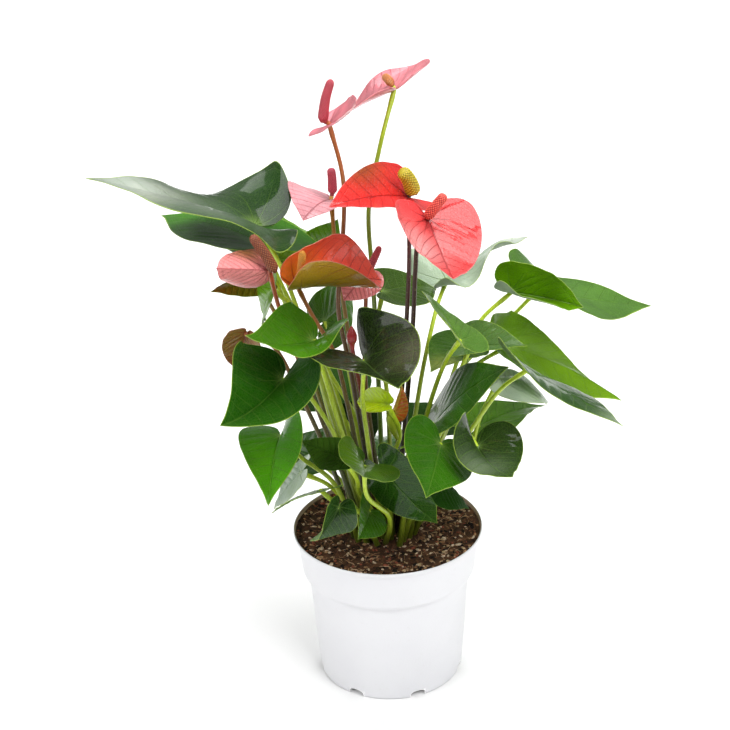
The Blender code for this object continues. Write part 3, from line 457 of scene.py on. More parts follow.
# Stalk colours at the foot and at the top.
STALKS = {
    "bloom_01": ((50, 48, 20), (190, 100, 44)), "bloom_02": ((80, 110, 20), (170, 190, 30)),
    "bloom_03": ((40, 24, 16), (90, 26, 28)), "bloom_04": ((36, 20, 14), (80, 24, 26)),
    "bloom_05": ((60, 70, 20), (176, 96, 40)), "bloom_06": ((60, 70, 20), (176, 80, 50)),
    "bloom_07": ((60, 74, 20), (180, 80, 50)), "bloom_08": ((64, 74, 20), (200, 140, 50)),
    "bloom_09": ((60, 70, 20), (150, 80, 40)), "leaf_39": ((70, 80, 24), (150, 110, 40)),
    "bud": ((50, 44, 20), (120, 26, 26)),
}
FLORETS = {
    "spadix_01": (190, 50, 80), "spadix_02": (190, 110, 50), "spadix_03": (190, 172, 16),
    "spadix_04": (228, 70, 66), "spadix_05": (226, 150, 40), "spadix_06": (206, 60, 84),
    "spadix_07": (130, 50, 20), "spadix_08": (188, 50, 84),
}

# Camera, in mm and degrees; the photo looks along +y and down.
CAMERA_AT = (-15.7, -1461.3, 1002.4)
CAMERA_PITCH = 25.5
CAMERA_ROLL = -1.9
CAMERA_LENS = 92.2
CAMERA_SENSOR = 36.0
CAMERA_FAR = 20.0

# Stage, in metres: the floor's sides and front, its back, and the lamps.
FLOOR_REACH = 2.0
FLOOR_BACK = 2.6
WORLD_LIGHT = 0.22
# Each lamp: where it is, what it faces, its size in metres and its power. The one named back
# gives no gloss.
LAMPS = (("key", (1.0, -1.4, 2.0), (0, 0, 0.25), 1.4, 46.0),
         ("side", (-1.9, -1.0, 1.5), (0, 0, 0.25), 1.4, 24.0),
         ("top", (0.2, 0.1, 2.4), (0, 0, 0.25), 1.6, 44.0),
         ("window", (-0.9, 2.1, 1.5), (0, 0, 0.3), 0.9, 5.0),
         ("back", (0.0, 2.4, 2.2), (0, 2.2, 0), 2.4, 60.0))


def unit(v):
    v = np.asarray(v, float)
    return v / np.linalg.norm(v)


def smooth_curve(points, count, dense=24):
    """Centripetal Catmull-Rom curve through the points, as evenly spaced points."""
    p = np.asarray(points, float)
    p = np.vstack([2 * p[0] - p[1], p, 2 * p[-1] - p[-2]])
    t = np.linspace(0, 1, dense, endpoint=False)[:, None]
    runs = []
    for a, b, c, d in zip(p[:-3], p[1:-2], p[2:-1], p[3:]):
        u, v, w = [math.sqrt(math.dist(m, n)) for m, n in ((a, b), (b, c), (c, d))]
        out = ((b - a) / u - (c - a) / (u + v) + (c - b) / v) * v
        into = ((c - b) / v - (d - b) / (v + w) + (d - c) / w) * v
        runs.append((1 + 2 * t) * (1 - t) ** 2 * b + t * (1 - t) ** 2 * out
                    + t * t * (3 - 2 * t) * c + t * t * (t - 1) * into)
    curve = np.vstack(runs + [p[-2][None]])
    run = np.concatenate([[0], np.cumsum(np.linalg.norm(np.diff(curve, axis=0), axis=1))])
    at = np.linspace(0, run[-1], count)
    return np.stack([np.interp(at, run, curve[:, k]) for k in range(curve.shape[1])], 1)


def blade_local(a, b, f):
    """Point of a blade at a along the midrib and b to the left of it, in blade lengths."""
    arch = math.radians(f["arch"]) or 1e-4
    lobe = (math.radians(f["lobes"]) or 1e-4) / LOBE_REACH
    ahead = a >= 0
    x = np.where(ahead, np.sin(arch * a) / arch, np.sin(lobe * a) / lobe)
    z = np.where(ahead, (np.cos(arch * a) - 1) / arch, (1 - np.cos(lobe * a)) / lobe)
    slope = np.where(ahead, -arch * a, lobe * a)
    back = np.clip((FOLD_FRONT - a) / (FOLD_FRONT + LOBE_REACH), 0, 1)
    back = back * back * (3 - 2 * back)
    left_tip, left_lobe, right_tip, right_lobe = f["fold"]
    left = left_tip + (left_lobe - left_tip) * back
    right = right_tip + (right_lobe - right_tip) * back
    fold = np.radians(np.where(b >= 0, left, right))
    side = np.where(b >= 0, 1.0, -1.0)
    out = np.abs(b) * f["width"]
    curl = (math.radians(f["curl"]) or 1e-4) / HALF_WIDTH
    y = side * (np.sin(fold + curl * out) - np.sin(fold)) / curl
    h = (np.cos(fold) - np.cos(fold + curl * out)) / curl
    wave = np.where(b >= 0, f["wave"][0], f["wave"][1])
    h = h + wave * np.sin(WAVES * a + math.radians(f["phase"])) * (out / HALF_WIDTH) ** 1.5
    turn = math.radians(f["twist"]) * a
    y, h = y * np.cos(turn) - h * np.sin(turn), y * np.sin(turn) + h * np.cos(turn)
    return np.stack([x - np.sin(slope) * h, y, z + np.cos(slope) * h], -1)


def blade_frame(f):
    """Length of a blade and the axes that carry it to its place."""
    at, tip = np.array(f["at"], float), np.array(f["tip"], float)
    end = blade_local(np.array([1.0]), np.array([0.0]), f)[0]
    chord = math.hypot(end[0], end[2])
    along = np.array([end[0], 0, end[2]]) / chord
    local = np.stack([along, [0, 1, 0], [-along[2], 0, along[0]]])
    e1 = unit(tip - at)
    up = unit(FACE_UP - e1 * (FACE_UP @ e1))
    roll = math.radians(f["roll"])
    e3 = up * math.cos(roll) + np.cross(up, e1) * math.sin(roll)
    return np.linalg.norm(tip - at) / chord, at, local.T @ np.stack([e1, np.cross(e3, e1), e3])


def blade_point(a, b, f):
    """Place of a blade's points in the plant, in mm."""
    size, at, turn = blade_frame(f)
    return at + size * blade_local(np.asarray(a, float), np.asarray(b, float), f) @ turn


def blade_grid(f, rays, shares):
    """Rows of place along, place out and share of the way to the margin, with faces and rim.

    The rays run from the stalk end to the margin, and the shares say where the rings cross them.
    """
    half = smooth_curve(f["half"], rays)
    rings = len(shares)
    index, rows = {}, [(0.0, 0.0, 0.0)]
    for side in (1, -1):
        for j in range(rays):
            for m, share in enumerate(shares):
                if j == rays - 1 and side < 0:
                    index[side, j, m] = index[1, j, m]
                else:
                    index[side, j, m] = len(rows)
                    rows.append((half[j, 0] * share, side * half[j, 1] * share, share))
    faces = []
    for side in (1, -1):
        for j in range(rays - 1):
            for m in range(rings):
                p, q = index[side, j, m], index[side, j + 1, m]
                if m == 0:
                    new = (0, q, p)
                else:
                    new = (index[side, j, m - 1], index[side, j + 1, m - 1], q, p)
                faces.append(new if side > 0 else new[::-1])
    last = rings - 1
    rim = [0] + [index[1, 0, m] for m in range(last)]
    rim += [index[1, j, last] for j in range(rays)]
    rim += [index[-1, j, last] for j in range(rays - 2, -1, -1)]
    rim += [index[-1, 0, m] for m in range(last - 1, -1, -1)]
    return np.array(rows), faces, rim


def blade_cloud(f):
    """A few points all over a blade, which the stems keep clear of."""
    rays, rings = CLEAR_GRID
    rows = blade_grid(f, rays, np.linspace(0, 1, rings + 1)[1:])[0]
    return blade_point(rows[:, 0], rows[:, 1], f)


def point_normals(points, faces):
    """Normal at each point, from the faces that meet there."""
    tri = np.array([(face[0], face[i], face[i + 1]) for face in faces
                    for i in range(1, len(face) - 1)])
    cross = np.cross(points[tri[:, 1]] - points[tri[:, 0]], points[tri[:, 2]] - points[tri[:, 0]])
    normals = np.zeros_like(points)
    for k in range(3):
        np.add.at(normals, tri[:, k], cross)
    return normals / np.maximum(np.linalg.norm(normals, axis=1), 1e-12)[:, None]


def tube_faces(rows, sides):
    """Faces between rings of points, with one across each end."""
    faces = []
    for i in range(rows - 1):
        for k in range(sides):
            a, b = i * sides + k, i * sides + (k + 1) % sides
            faces.append((a, b, b + sides, a + sides))
    top = (rows - 1) * sides
    return faces + [tuple(range(sides))[::-1], tuple(range(top, top + sides))]


def tube(path, radii, sides):
    """Points and faces of a closed tube along a path."""
    path = np.asarray(path, float)
    ways = np.gradient(path, axis=0)
    ways /= np.linalg.norm(ways, axis=1)[:, None]
    across = np.array([1.0, 0, 0])
    points = []
    for p, way, r in zip(path, ways, radii):
        across = unit(across - way * (across @ way))
        other = np.cross(way, across)
        for k in range(sides):
            turn = 2 * math.pi * k / sides
            points.append(p + r * (across * math.cos(turn) + other * math.sin(turn)))
    return np.array(points), tube_faces(len(path), sides)


def spread_feet(targets):
    """Where each stem leaves the soil: toward its blade, low ones farther out, all apart."""
    feet = np.array([np.array([x, y]) * (1 + CROWN_LEAN / (z - SOIL_TOP)) for x, y, z in targets])
    feet *= CROWN_SHARE
    turn = np.arange(len(feet)) * GOLDEN_ANGLE
    feet += np.stack([np.cos(turn), np.sin(turn)], 1)
    for _ in range(CROWN_ROUNDS):
        gap = feet[:, None] - feet[None]
        far = np.linalg.norm(gap, axis=2) + np.eye(len(feet)) * 1e3
        push = np.clip(CROWN_SPACING - far, 0, None) / 2
        feet = feet + (gap / far[..., None] * push[..., None]).sum(1)
        away = np.linalg.norm(feet, axis=1)
        feet *= np.minimum(1, CROWN_RADIUS / np.maximum(away, 1e-6))[:, None]
    return feet


def arrival(f):
    """Way in which a stem reaches the end of its route."""
    if f is BUD:
        return unit(np.subtract(f["tip"], f["at"]))
    turn = blade_frame(f)[2]
    return unit(turn[2] * ARRIVE_UP + turn[0] * ARRIVE_ALONG)


def stem_route(foot, f):
    """Smooth route of a stem: straight out of its hole, then round to its blade from below."""
    at = np.array(f["at"], float)
    base = np.array([foot[0], foot[1], SOIL_TOP + STEM_RISE])
    rise = base + [0, 0, STEM_RISE]
    via = [np.array(v, float) for v in f["via"]] or [rise + (at - rise) * VIA_SHARE]
    lead = min(LEAD_MOST, LEAD_LEAST + LEAD_SHARE * np.linalg.norm(at - via[-1]))
    before = at - arrival(f) * lead
    return smooth_curve([base, rise] + via + [before, at], ROUTE_POINTS)


def clear_routes(routes, blades):
    """Push the routes sideways until they clear one another and the blades."""
    names = list(routes)
    start = np.array([routes[n] for n in names])
    count, length = start.shape[:2]
    step = np.arange(length)
    loose = np.tile((step > 0) & (step < length - 2), (count, 1))
    cloud = np.vstack(list(blades.values()))
    owner = np.concatenate([np.full(len(c), names.index(n) if n in names else -1)
                            for n, c in blades.items()])
    ids = np.repeat(np.arange(count), length)
    late = np.tile(step > CLEAR_LATE * length, count)
    offset = np.zeros_like(start)
    for turn in range(CLEAR_ROUNDS):
        flat = (start + offset).reshape(-1, 3)
        if turn % CLEAR_RENEW == 0:
            near = np.linalg.norm(flat[:, None] - cloud[None], axis=2) < CLEAR_RANGE
            near &= ~((ids[:, None] == owner[None]) & late[:, None])
            blade_pairs = np.argwhere(near)
            near = np.linalg.norm(flat[:, None] - flat[None], axis=2) < CLEAR_RANGE
            stem_pairs = np.argwhere(near & (ids[:, None] != ids[None]))
        push = np.zeros_like(flat)
        for pairs, others, clear in ((blade_pairs, cloud, BLADE_CLEAR),
                                     (stem_pairs, flat, STEM_CLEAR)):
            gap = flat[pairs[:, 0]] - others[pairs[:, 1]]
            far = np.maximum(np.linalg.norm(gap, axis=1), 0.5)
            weight = np.clip(clear - far, 0, None) / far * CLEAR_PUSH
            np.add.at(push, pairs[:, 0], gap * weight[:, None])
        size = np.maximum(np.linalg.norm(push, axis=1), 1e-6)
        push *= np.minimum(1, CLEAR_STEP / size)[:, None]
        offset += push.reshape(offset.shape) * loose[..., None]
        offset[:, 1:-1] = 0.5 * offset[:, 1:-1] + 0.25 * (offset[:, 2:] + offset[:, :-2])
        offset *= loose[..., None]
    return {n: start[i] + offset[i] for i, n in enumerate(names)}


def stem_routes():
    """Routes of all stems, clear of one another and of the blades."""
    growth = {**LEAVES, **BLOOMS, "bud": BUD}
    growth.update({first: PAIR_LEAVES[first] for first, _, _ in PAIRS.values()})
    feet = spread_feet([(f["via"] or (f["at"],))[0] for f in growth.values()])
    routes = {n: stem_route(foot, f) for foot, (n, f) in zip(feet, growth.items())}
    clouds = {n: blade_cloud(f) for n, f in growth.items() if f is not BUD}
    clouds["bud"] = np.linspace(BUD["at"], BUD["tip"], 4)
    for _, second, _ in PAIRS.values():
        clouds[second] = blade_cloud(PAIR_LEAVES[second])
    return clear_routes(routes, clouds)


def stem_path(route):
    """Evenly spaced points of a stem, with a straight foot down in its hole."""
    run = np.linalg.norm(np.diff(route, axis=0), axis=1).sum()
    foot = [route[0][0], route[0][1], SOIL_TOP - HOLE_DEPTH + GAP]
    return np.vstack([foot, smooth_curve(route, int(run / STEM_RUN) + 3)])


def lathe(profile, sides):
    """Points and faces of a body of revolution; the profile runs from axis to axis."""
    points, rings = [], []
    for r, z in profile:
        if r == 0:
            rings.append([len(points)] * sides)
            points.append((0, 0, z))
        else:
            rings.append(list(range(len(points), len(points) + sides)))
            for k in range(sides):
                turn = 2 * math.pi * k / sides
                points.append((r * math.cos(turn), r * math.sin(turn), z))
    faces = []
    for low, high in zip(rings[:-1], rings[1:]):
        for k in range(sides):
            a, b, c, d = low[k], low[(k + 1) % sides], high[(k + 1) % sides], high[k]
            faces += [f for f in ((a, b, c), (a, c, d)) if len(set(f)) == 3]
    return np.array(points), faces


def turned(points, i, j, angle):
    """Points turned by an angle in the plane of two of their axes."""
    out = points.copy()
    out[:, i] = points[:, i] * math.cos(angle) - points[:, j] * math.sin(angle)
    out[:, j] = points[:, i] * math.sin(angle) + points[:, j] * math.cos(angle)
    return out


def rgb(r, g, b):
    """Linear colour from screen values."""
    c = np.array([r, g, b], float) / 255
    return np.where(c <= 0.04045, c / 12.92, ((c + 0.055) / 1.055) ** 2.4)


def blend(low, high, share):
    """Linear colours between two screen colours, by shares of the way."""
    return rgb(*low) + (rgb(*high) - rgb(*low)) * share


class Graph:
    """Short calls to build one material."""

    def __init__(self, name, **sockets):
        self.material = bpy.data.materials.new(name)
        self.material.use_nodes = True
        self.tree = self.material.node_tree
        self.shader = self.tree.nodes["Principled BSDF"]
        for key, value in sockets.items():
            self.shader.inputs[key.replace("_", " ")].default_value = value

    def join(self, socket, value):
        if isinstance(value, bpy.types.NodeSocket):
            self.tree.links.new(value, socket)
        elif hasattr(socket.default_value, "__len__") and len(socket.default_value) == 4:
            socket.default_value = (*value, 1.0)
        else:
            socket.default_value = value

    def node(self, kind, inputs=None, **settings):
        node = self.tree.nodes.new("ShaderNode" + kind)
        for key, value in settings.items():
            setattr(node, key, value)
        for key, value in (inputs or {}).items():
            self.join(node.inputs[key], value)
        return node

    def math(self, operation, *values):
        node = self.node("Math", operation=operation)
        for socket, value in zip(node.inputs, values):
            self.join(socket, value)
        return node.outputs[0]

    def ramp(self, value, low, high, out_low=0.0, out_high=1.0):
        return self.node("MapRange", {0: value, 1: low, 2: high, 3: out_low, 4: out_high},
                         interpolation_type="SMOOTHSTEP").outputs[0]

    def mix(self, share, a, b, kind="MIX"):
        return self.node("Mix", {0: share, 6: a, 7: b}, data_type="RGBA",
                         blend_type=kind).outputs[2]

    def field(self, name, output="Vector"):
        return self.node("Attribute", attribute_name=name).outputs[output]

    def spots(self, scale, detail=2.0, rough=0.5):
        """Noise over the piece, in its own coordinates."""
        where = self.node("TexCoord").outputs["Object"]
        return self.node("TexNoise", {"Vector": where, "Scale": scale, "Detail": detail,
                                      "Roughness": rough}).outputs[0]

    def cells(self, scale):
        """Distance from the edges of irregular cells."""
        where = self.node("TexCoord").outputs["Object"]
        return self.node("TexVoronoi", {"Vector": where, "Scale": scale},
                         feature="DISTANCE_TO_EDGE").outputs["Distance"]

    def tinted(self, noise, low, high, dark, light):
        """The piece's own colour, from dark to light as the noise goes from low to high."""
        tint = self.mix(self.ramp(noise, low, high), dark, light)
        return self.mix(1.0, self.field("skin", "Color"), tint, "MULTIPLY")

    def surface(self, colour, grain, smooth, rough, height, relief):
        """Set colour, roughness by the grain and relief in metres, and give the material."""
        bump = self.node("Bump", {"Height": height, "Distance": relief, "Strength": 1.0})
        self.join(self.shader.inputs["Base Color"], colour)
        self.join(self.shader.inputs["Roughness"], self.ramp(grain, 0.3, 0.7, smooth, rough))
        self.join(self.shader.inputs["Normal"], bump.outputs[0])
        return self.material


def blade_look(name, vein, vein_share, margin, margin_share, rough, relief, **sockets):
    """Skin with a midrib, side veins, veins fanning from the stalk, a fine net and a margin."""
    g = Graph(name, **sockets)
    along, out, edge = g.node("SeparateXYZ", {0: g.field("place")}).outputs
    phase, apart, length = g.node("SeparateXYZ", {0: g.field("veins")}).outputs
    midrib = g.math("MULTIPLY", g.ramp(out, 0.35, 1.0, 1.0, 0.0), g.ramp(along, -2.0, 1.0))
    line = g.math("ABSOLUTE", g.math("SUBTRACT", g.math("FRACT", phase), 0.5))
    line = g.ramp(g.math("MULTIPLY", line, apart), 0.15, 0.75, 1.0, 0.0)
    ahead = g.math("DIVIDE", along, length)
    line = g.math("MULTIPLY", line, g.ramp(ahead, -0.05, 0.22, 0.0, 0.7))
    fan = g.math("DIVIDE", g.math("ARCTAN2", out, along), BASAL_STEP)
    fan = g.math("SUBTRACT", g.math("FRACT", g.math("ADD", fan, 0.5)), 0.5)
    fan = g.math("MULTIPLY", g.math("ABSOLUTE", fan), BASAL_STEP)
    reach = g.math("ADD", g.math("MULTIPLY", along, along), g.math("MULTIPLY", out, out))
    reach = g.math("SQRT", reach)
    fan = g.ramp(g.math("MULTIPLY", fan, reach), 0.2, 0.9, 1.0, 0.0)
    share = g.math("DIVIDE", reach, length)
    fan = g.math("MULTIPLY", fan, g.ramp(share, 0.12, 0.42, 1.0, 0.15))
    ring = g.math("ABSOLUTE", g.math("SUBTRACT", edge, 0.9))
    ring = g.ramp(ring, 0.002, 0.014, 0.4, 0.0)
    veins = g.math("MAXIMUM", g.math("MAXIMUM", midrib, line), g.math("MAXIMUM", fan, ring))
    net = g.ramp(g.cells(420.0), 0.0, 0.16, 1.0, 0.0)
    skin = g.tinted(g.spots(28.0, 3.0), 0.3, 0.7, (0.80, 0.82, 0.80), (1.14, 1.10, 1.06))
    skin = g.mix(g.math("MULTIPLY", net, 0.10), skin, rgb(*vein))
    skin = g.mix(g.math("MULTIPLY", veins, vein_share), skin, rgb(*vein))
    skin = g.mix(g.ramp(edge, 0.982, 0.996, 0.0, margin_share), skin, rgb(*margin))
    pressed = g.math("ADD", g.math("MULTIPLY", veins, 0.8), g.math("MULTIPLY", net, 0.25))
    height = g.math("SUBTRACT", g.math("MULTIPLY", g.spots(160.0, 3.0), 0.5), pressed)
    return g.surface(skin, g.spots(60.0, 4.0), rough - 0.06, rough + 0.08, height, relief)


def stem_look():
    """Skin with long streaks and a few pale specks."""
    g = Graph("stem_skin", Coat_Weight=0.1, Coat_Roughness=0.2)
    where = g.node("TexCoord").outputs["Object"]
    long = g.node("Mapping", {0: where, 3: (1.0, 1.0, 0.06)}).outputs[0]
    streak = g.node("TexNoise", {"Vector": long, "Scale": 900.0, "Detail": 2.0}).outputs[0]
    skin = g.tinted(streak, 0.35, 0.65, (0.82, 0.84, 0.8), (1.12, 1.1, 1.05))
    speck = g.ramp(g.spots(700.0), 0.62, 0.70)
    skin = g.mix(g.math("MULTIPLY", speck, 0.25), skin, rgb(190, 200, 120))
    return g.surface(skin, g.spots(200.0), 0.32, 0.45, streak, 0.0002)


def spadix_look():
    """Dull skin with fine grain."""
    g = Graph("spadix_skin", Coat_Weight=0.05)
    skin = g.tinted(g.spots(420.0), 0.35, 0.65, (0.86, 0.86, 0.84), (1.1, 1.1, 1.1))
    return g.surface(skin, g.spots(300.0), 0.42, 0.56, g.spots(2600.0), 0.0002)


def pot_look():
    """White plastic with faint smears and a little dust."""
    g = Graph("pot_plastic", Specular_IOR_Level=0.5)
    skin = g.tinted(g.spots(14.0, 4.0), 0.35, 0.75, (1.0, 1.0, 1.0), (0.965, 0.965, 0.972))
    dust = g.math("MULTIPLY", g.ramp(g.spots(220.0, 4.0, 0.7), 0.58, 0.74), 0.06)
    skin = g.mix(dust, skin, rgb(170, 140, 120))
    return g.surface(skin, g.spots(40.0, 4.0), 0.3, 0.42, g.spots(900.0, 3.0), 0.00012)


def soil_look():
    """Coarse dark peat."""
    g = Graph("peat", Specular_IOR_Level=0.25)
    skin = g.tinted(g.spots(420.0, 6.0, 0.7), 0.32, 0.68, (0.45, 0.42, 0.4), (1.5, 1.45, 1.4))
    return g.surface(skin, g.spots(80.0), 0.8, 0.98, g.spots(1400.0, 6.0, 0.7), 0.0012)


def fine_mesh(name, parts):
    """One smooth piece in metres. Each part has points in mm, faces, a look and its fields."""
    points, faces, kinds, shift = [], [], [], 0
    fields = {"skin": [], "place": [], "veins": []}
    for p in parts:
        points.append(p["points"])
        faces += [tuple(i + shift for i in face) for face in p["faces"]]
        kinds += p["kinds"] if "kinds" in p else [p["look"]] * len(p["faces"])
        shift += len(p["points"])
        for key, rows in fields.items():
            rows.append(np.broadcast_to(p.get(key, (0, 0, 0)), (len(p["points"]), 3)))
    mesh = bpy.data.meshes.new(name)
    mesh.from_pydata((np.vstack(points) * MM).tolist(), [], faces)
    used = sorted(set(kinds))
    for kind in used:
        mesh.materials.append(LOOKS[kind])
    mesh.polygons.foreach_set("material_index", [used.index(kind) for kind in kinds])
    mesh.polygons.foreach_set("use_smooth", [True] * len(faces))
    for key, rows in fields.items():
        rows = np.vstack(rows).astype(np.float32)
        kind, values = "FLOAT_VECTOR", "vector"
        if key == "skin":
            kind, values = "FLOAT_COLOR", "color"
            rows = np.hstack([rows, np.ones((len(rows), 1), np.float32)])
        mesh.attributes.new(key, kind, "POINT").data.foreach_set(values, rows.ravel())
    obj = bpy.data.objects.new(name, mesh)
    bpy.context.scene.collection.objects.link(obj)
    return obj


def waves(x, y, seed, turns=6, low=0.5, high=3.0):
    """Smooth seeded unevenness between about -1 and 1."""
    draw = np.random.default_rng(seed)
    total = 0
    for _ in range(turns):
        way = draw.uniform(0, 2 * math.pi)
        pace = draw.uniform(low, high) * 2 * math.pi
        total = total + np.sin(pace * (x * math.cos(way) + y * math.sin(way))
                               + draw.uniform(0, 2 * math.pi))
    return total / turns


def blade_skin(name, f, side, a, b, seed):
    """Colours of a blade's side: uneven, pale by a leaf's stalk and with its patches; some paint
    sheen or shade.
    """
    colour = UPPER_SIDES.get(name, MID) if side == "top" else UNDERSIDES.get(name, UNDER)
    skin = np.tile(rgb(*colour), (len(a), 1))
    skin *= 1 + TONE_UNEVEN * waves(a * TONE_PACE, b * TONE_PACE, seed)[:, None]
    if f["half"] is LEAF_HALF:
        out = b * f["width"]
        spot = np.exp(-((a * a + out * out) / STALK_SPOT ** 2))[:, None] * STALK_SPOT_SHARE
        skin += (rgb(*PALE_VEIN) - skin) * spot
    for which, along, left, reach, patch, strength in PATCHES.get(name, ()):
        if which in (side, "both"):
            share = np.exp(-((a - along) ** 2 + (b - left) ** 2) / reach ** 2)[:, None] * strength
            skin += (rgb(*patch) - skin) * share
    return np.clip(skin, 0, 1)


def blade_part(name, f, seed, quilt, top_look, low_look):
    """A blade with veins pressed into its face, a keel under its midrib and a wavy margin."""
    rows, faces, rim = blade_grid(f, FINE_RAYS, FINE_RINGS)
    a, b, edge = rows.T
    out = np.abs(b) * f["width"]
    length = float(blade_frame(f)[0])
    base = blade_point(a, b, f)
    phase = (a - VEIN_SLANT * out - VEIN_BEND * out * out) * VEINS_ALONG
    phase += np.where(b > 0, 0.0, VEIN_SHIFT)
    mask = np.clip((a + QUILT_BACK) / QUILT_FADE_IN, 0, 1)
    mask *= np.clip((1.0 - a) / QUILT_FADE_OUT, 0, 1)
    rise = -quilt * np.cos(2 * math.pi * phase) * mask * np.sin(math.pi * edge ** 1.5)
    rise += quilt * BILLOW * waves(a * BILLOW_PACE, b * BILLOW_PACE, seed) * edge
    frill = FRILL * waves(a * FRILL_PACE, b * FRILL_PACE, seed + 1) * edge ** 5
    groove = GROOVE * np.exp(-(out * length / GROOVE_WIDTH) ** 2) * (a > 0) * (1 - a)
    top = base + point_normals(base, faces) * (rise + frill - groove)[:, None]
    keel = KEEL * np.exp(-(out * length / KEEL_WIDTH) ** 2) * (a > 0)
    keel *= np.clip(1 - a, 0, 1) ** 0.7
    thick = FINE_THICK * (1 - THIN_EDGE * edge ** 6)
    low = top - point_normals(top, faces) * (thick + keel)[:, None]
    n = len(top)
    solid = faces + [tuple(i + n for i in face[::-1]) for face in faces]
    solid += [(p, p + n, q + n, q) for p, q in zip(rim, rim[1:] + rim[:1])]
    kinds = [top_look] * len(faces) + [low_look] * len(faces) + [top_look] * len(rim)
    skins = [blade_skin(name, f, side, a, b, seed + 2) for side in ("top", "low")]
    place = np.stack([a * length, out * length, edge], 1)
    apart = length / VEINS_ALONG * VEIN_ACROSS
    veins = np.stack([phase + 0.5, np.full(n, apart), np.full(n, length)], 1)
    return {"points": np.vstack([top, low]), "faces": solid, "kinds": kinds,
            "skin": np.vstack(skins), "place": np.vstack([place] * 2),
            "veins": np.vstack([veins] * 2)}


def tube_part(path, radii, skin, sides=FINE_SIDES, look="stem"):
    """A closed tube with a colour for each point of its path."""
    points, faces = tube(path, radii, sides)
    return {"points": points, "faces": faces, "look": look, "skin": np.repeat(skin, sides, axis=0)}


def stalk_part(name, route, f, poke=None):
    """A stem: flared at its foot, slim along its run and swollen just before its blade."""
    sparse = stem_path(route)[1:]
    run = np.linalg.norm(np.diff(sparse, axis=0), axis=1).sum()
    count = max(STALK_FEWEST, int(run / STALK_STEP))
    foot = [route[0][0], route[0][1], SOIL_TOP - STALK_DEPTH]
    path = np.vstack([foot, smooth_curve(sparse, count)])
    at = np.concatenate([[-STALK_DEPTH - STEM_RISE], np.linspace(0, run, count)])
    share = np.clip(at / run, 0, 1)
    radii = STEM_FOOT_RADIUS + (STEM_TOP_RADIUS - STEM_FOOT_RADIUS) * share - STALK_SLIMMER
    radii += STALK_FLARE * np.exp(-np.clip(at, 0, None) / STALK_FLARE_LENGTH)
    radii += STALK_SWELL * np.exp(-((run - at - STALK_SWELL_BACK) / STALK_SWELL_LENGTH) ** 2)
    up = blade_frame(f)[2][2]
    if poke is None:
        path[-1] += up * STEM_POKE
    else:
        path = np.vstack([path, path[-1] + up * poke])
        radii = np.append(radii, STEM_TOP_RADIUS)
        share = np.append(share, 1.0)
    skin = blend(*STALKS.get(name, (PETIOLE, PETIOLE)), share[:, None] ** STALK_FADE)
    # Painted shade: a leaf stalk grows darker toward its foot, inside the plant.
    if name not in STALKS:
        skin = skin * (STALK_FOOT_SHADE + STALK_SHADE_LIFT * share[:, None])
    return tube_part(path, radii, skin)


def branch_part(name, route, share, f):
    """The stem of a pair's second leaf, out of the first one's stem."""
    start = route[int(share * (len(route) - 1))]
    at = np.array(f["at"], float)
    before = at - arrival(f) * LEAD_SHARE * np.linalg.norm(at - start)
    path = smooth_curve([start, before, at], BRANCH_POINTS)
    path[-1] += blade_frame(f)[2][2] * STEM_POKE
    radii = np.full(BRANCH_POINTS, BRANCH_RADIUS)
    tone = PETIOLE
    if name == "young_shoot":
        radii += SHEATH_SWELL * np.sin(np.linspace(SHEATH_START, math.pi, BRANCH_POINTS))
        tone = SHEATH
    return tube_part(path, radii, np.tile(rgb(*tone), (BRANCH_POINTS, 1)))


def bud_part(route):
    """The closed bud, in one with its stem."""
    neck = np.array(BUD["at"]) + [0, 0, BUD_NECK]
    stem = smooth_curve(np.vstack([stem_path(route), neck]), BUD_STEM_POINTS)
    body = np.linspace(BUD["at"], BUD["tip"], BUD_POINTS + 1)[1:]
    marks = np.linspace(0, 1, len(BUD_RADII) + 1)
    share = np.linspace(0, 1, BUD_POINTS + 1)[1:]
    radii = np.concatenate([np.linspace(BUD_STEM_FOOT, STEM_TOP_RADIUS, BUD_STEM_POINTS),
                            np.interp(share, marks, (STEM_TOP_RADIUS,) + BUD_RADII)])
    skin = blend(*STALKS["bud"], np.linspace(0, 1, BUD_STEM_POINTS)[:, None])
    skin = np.vstack([skin, np.tile(rgb(*BUD_RED), (BUD_POINTS, 1))])
    return tube_part(np.vstack([stem, body]), radii, skin)


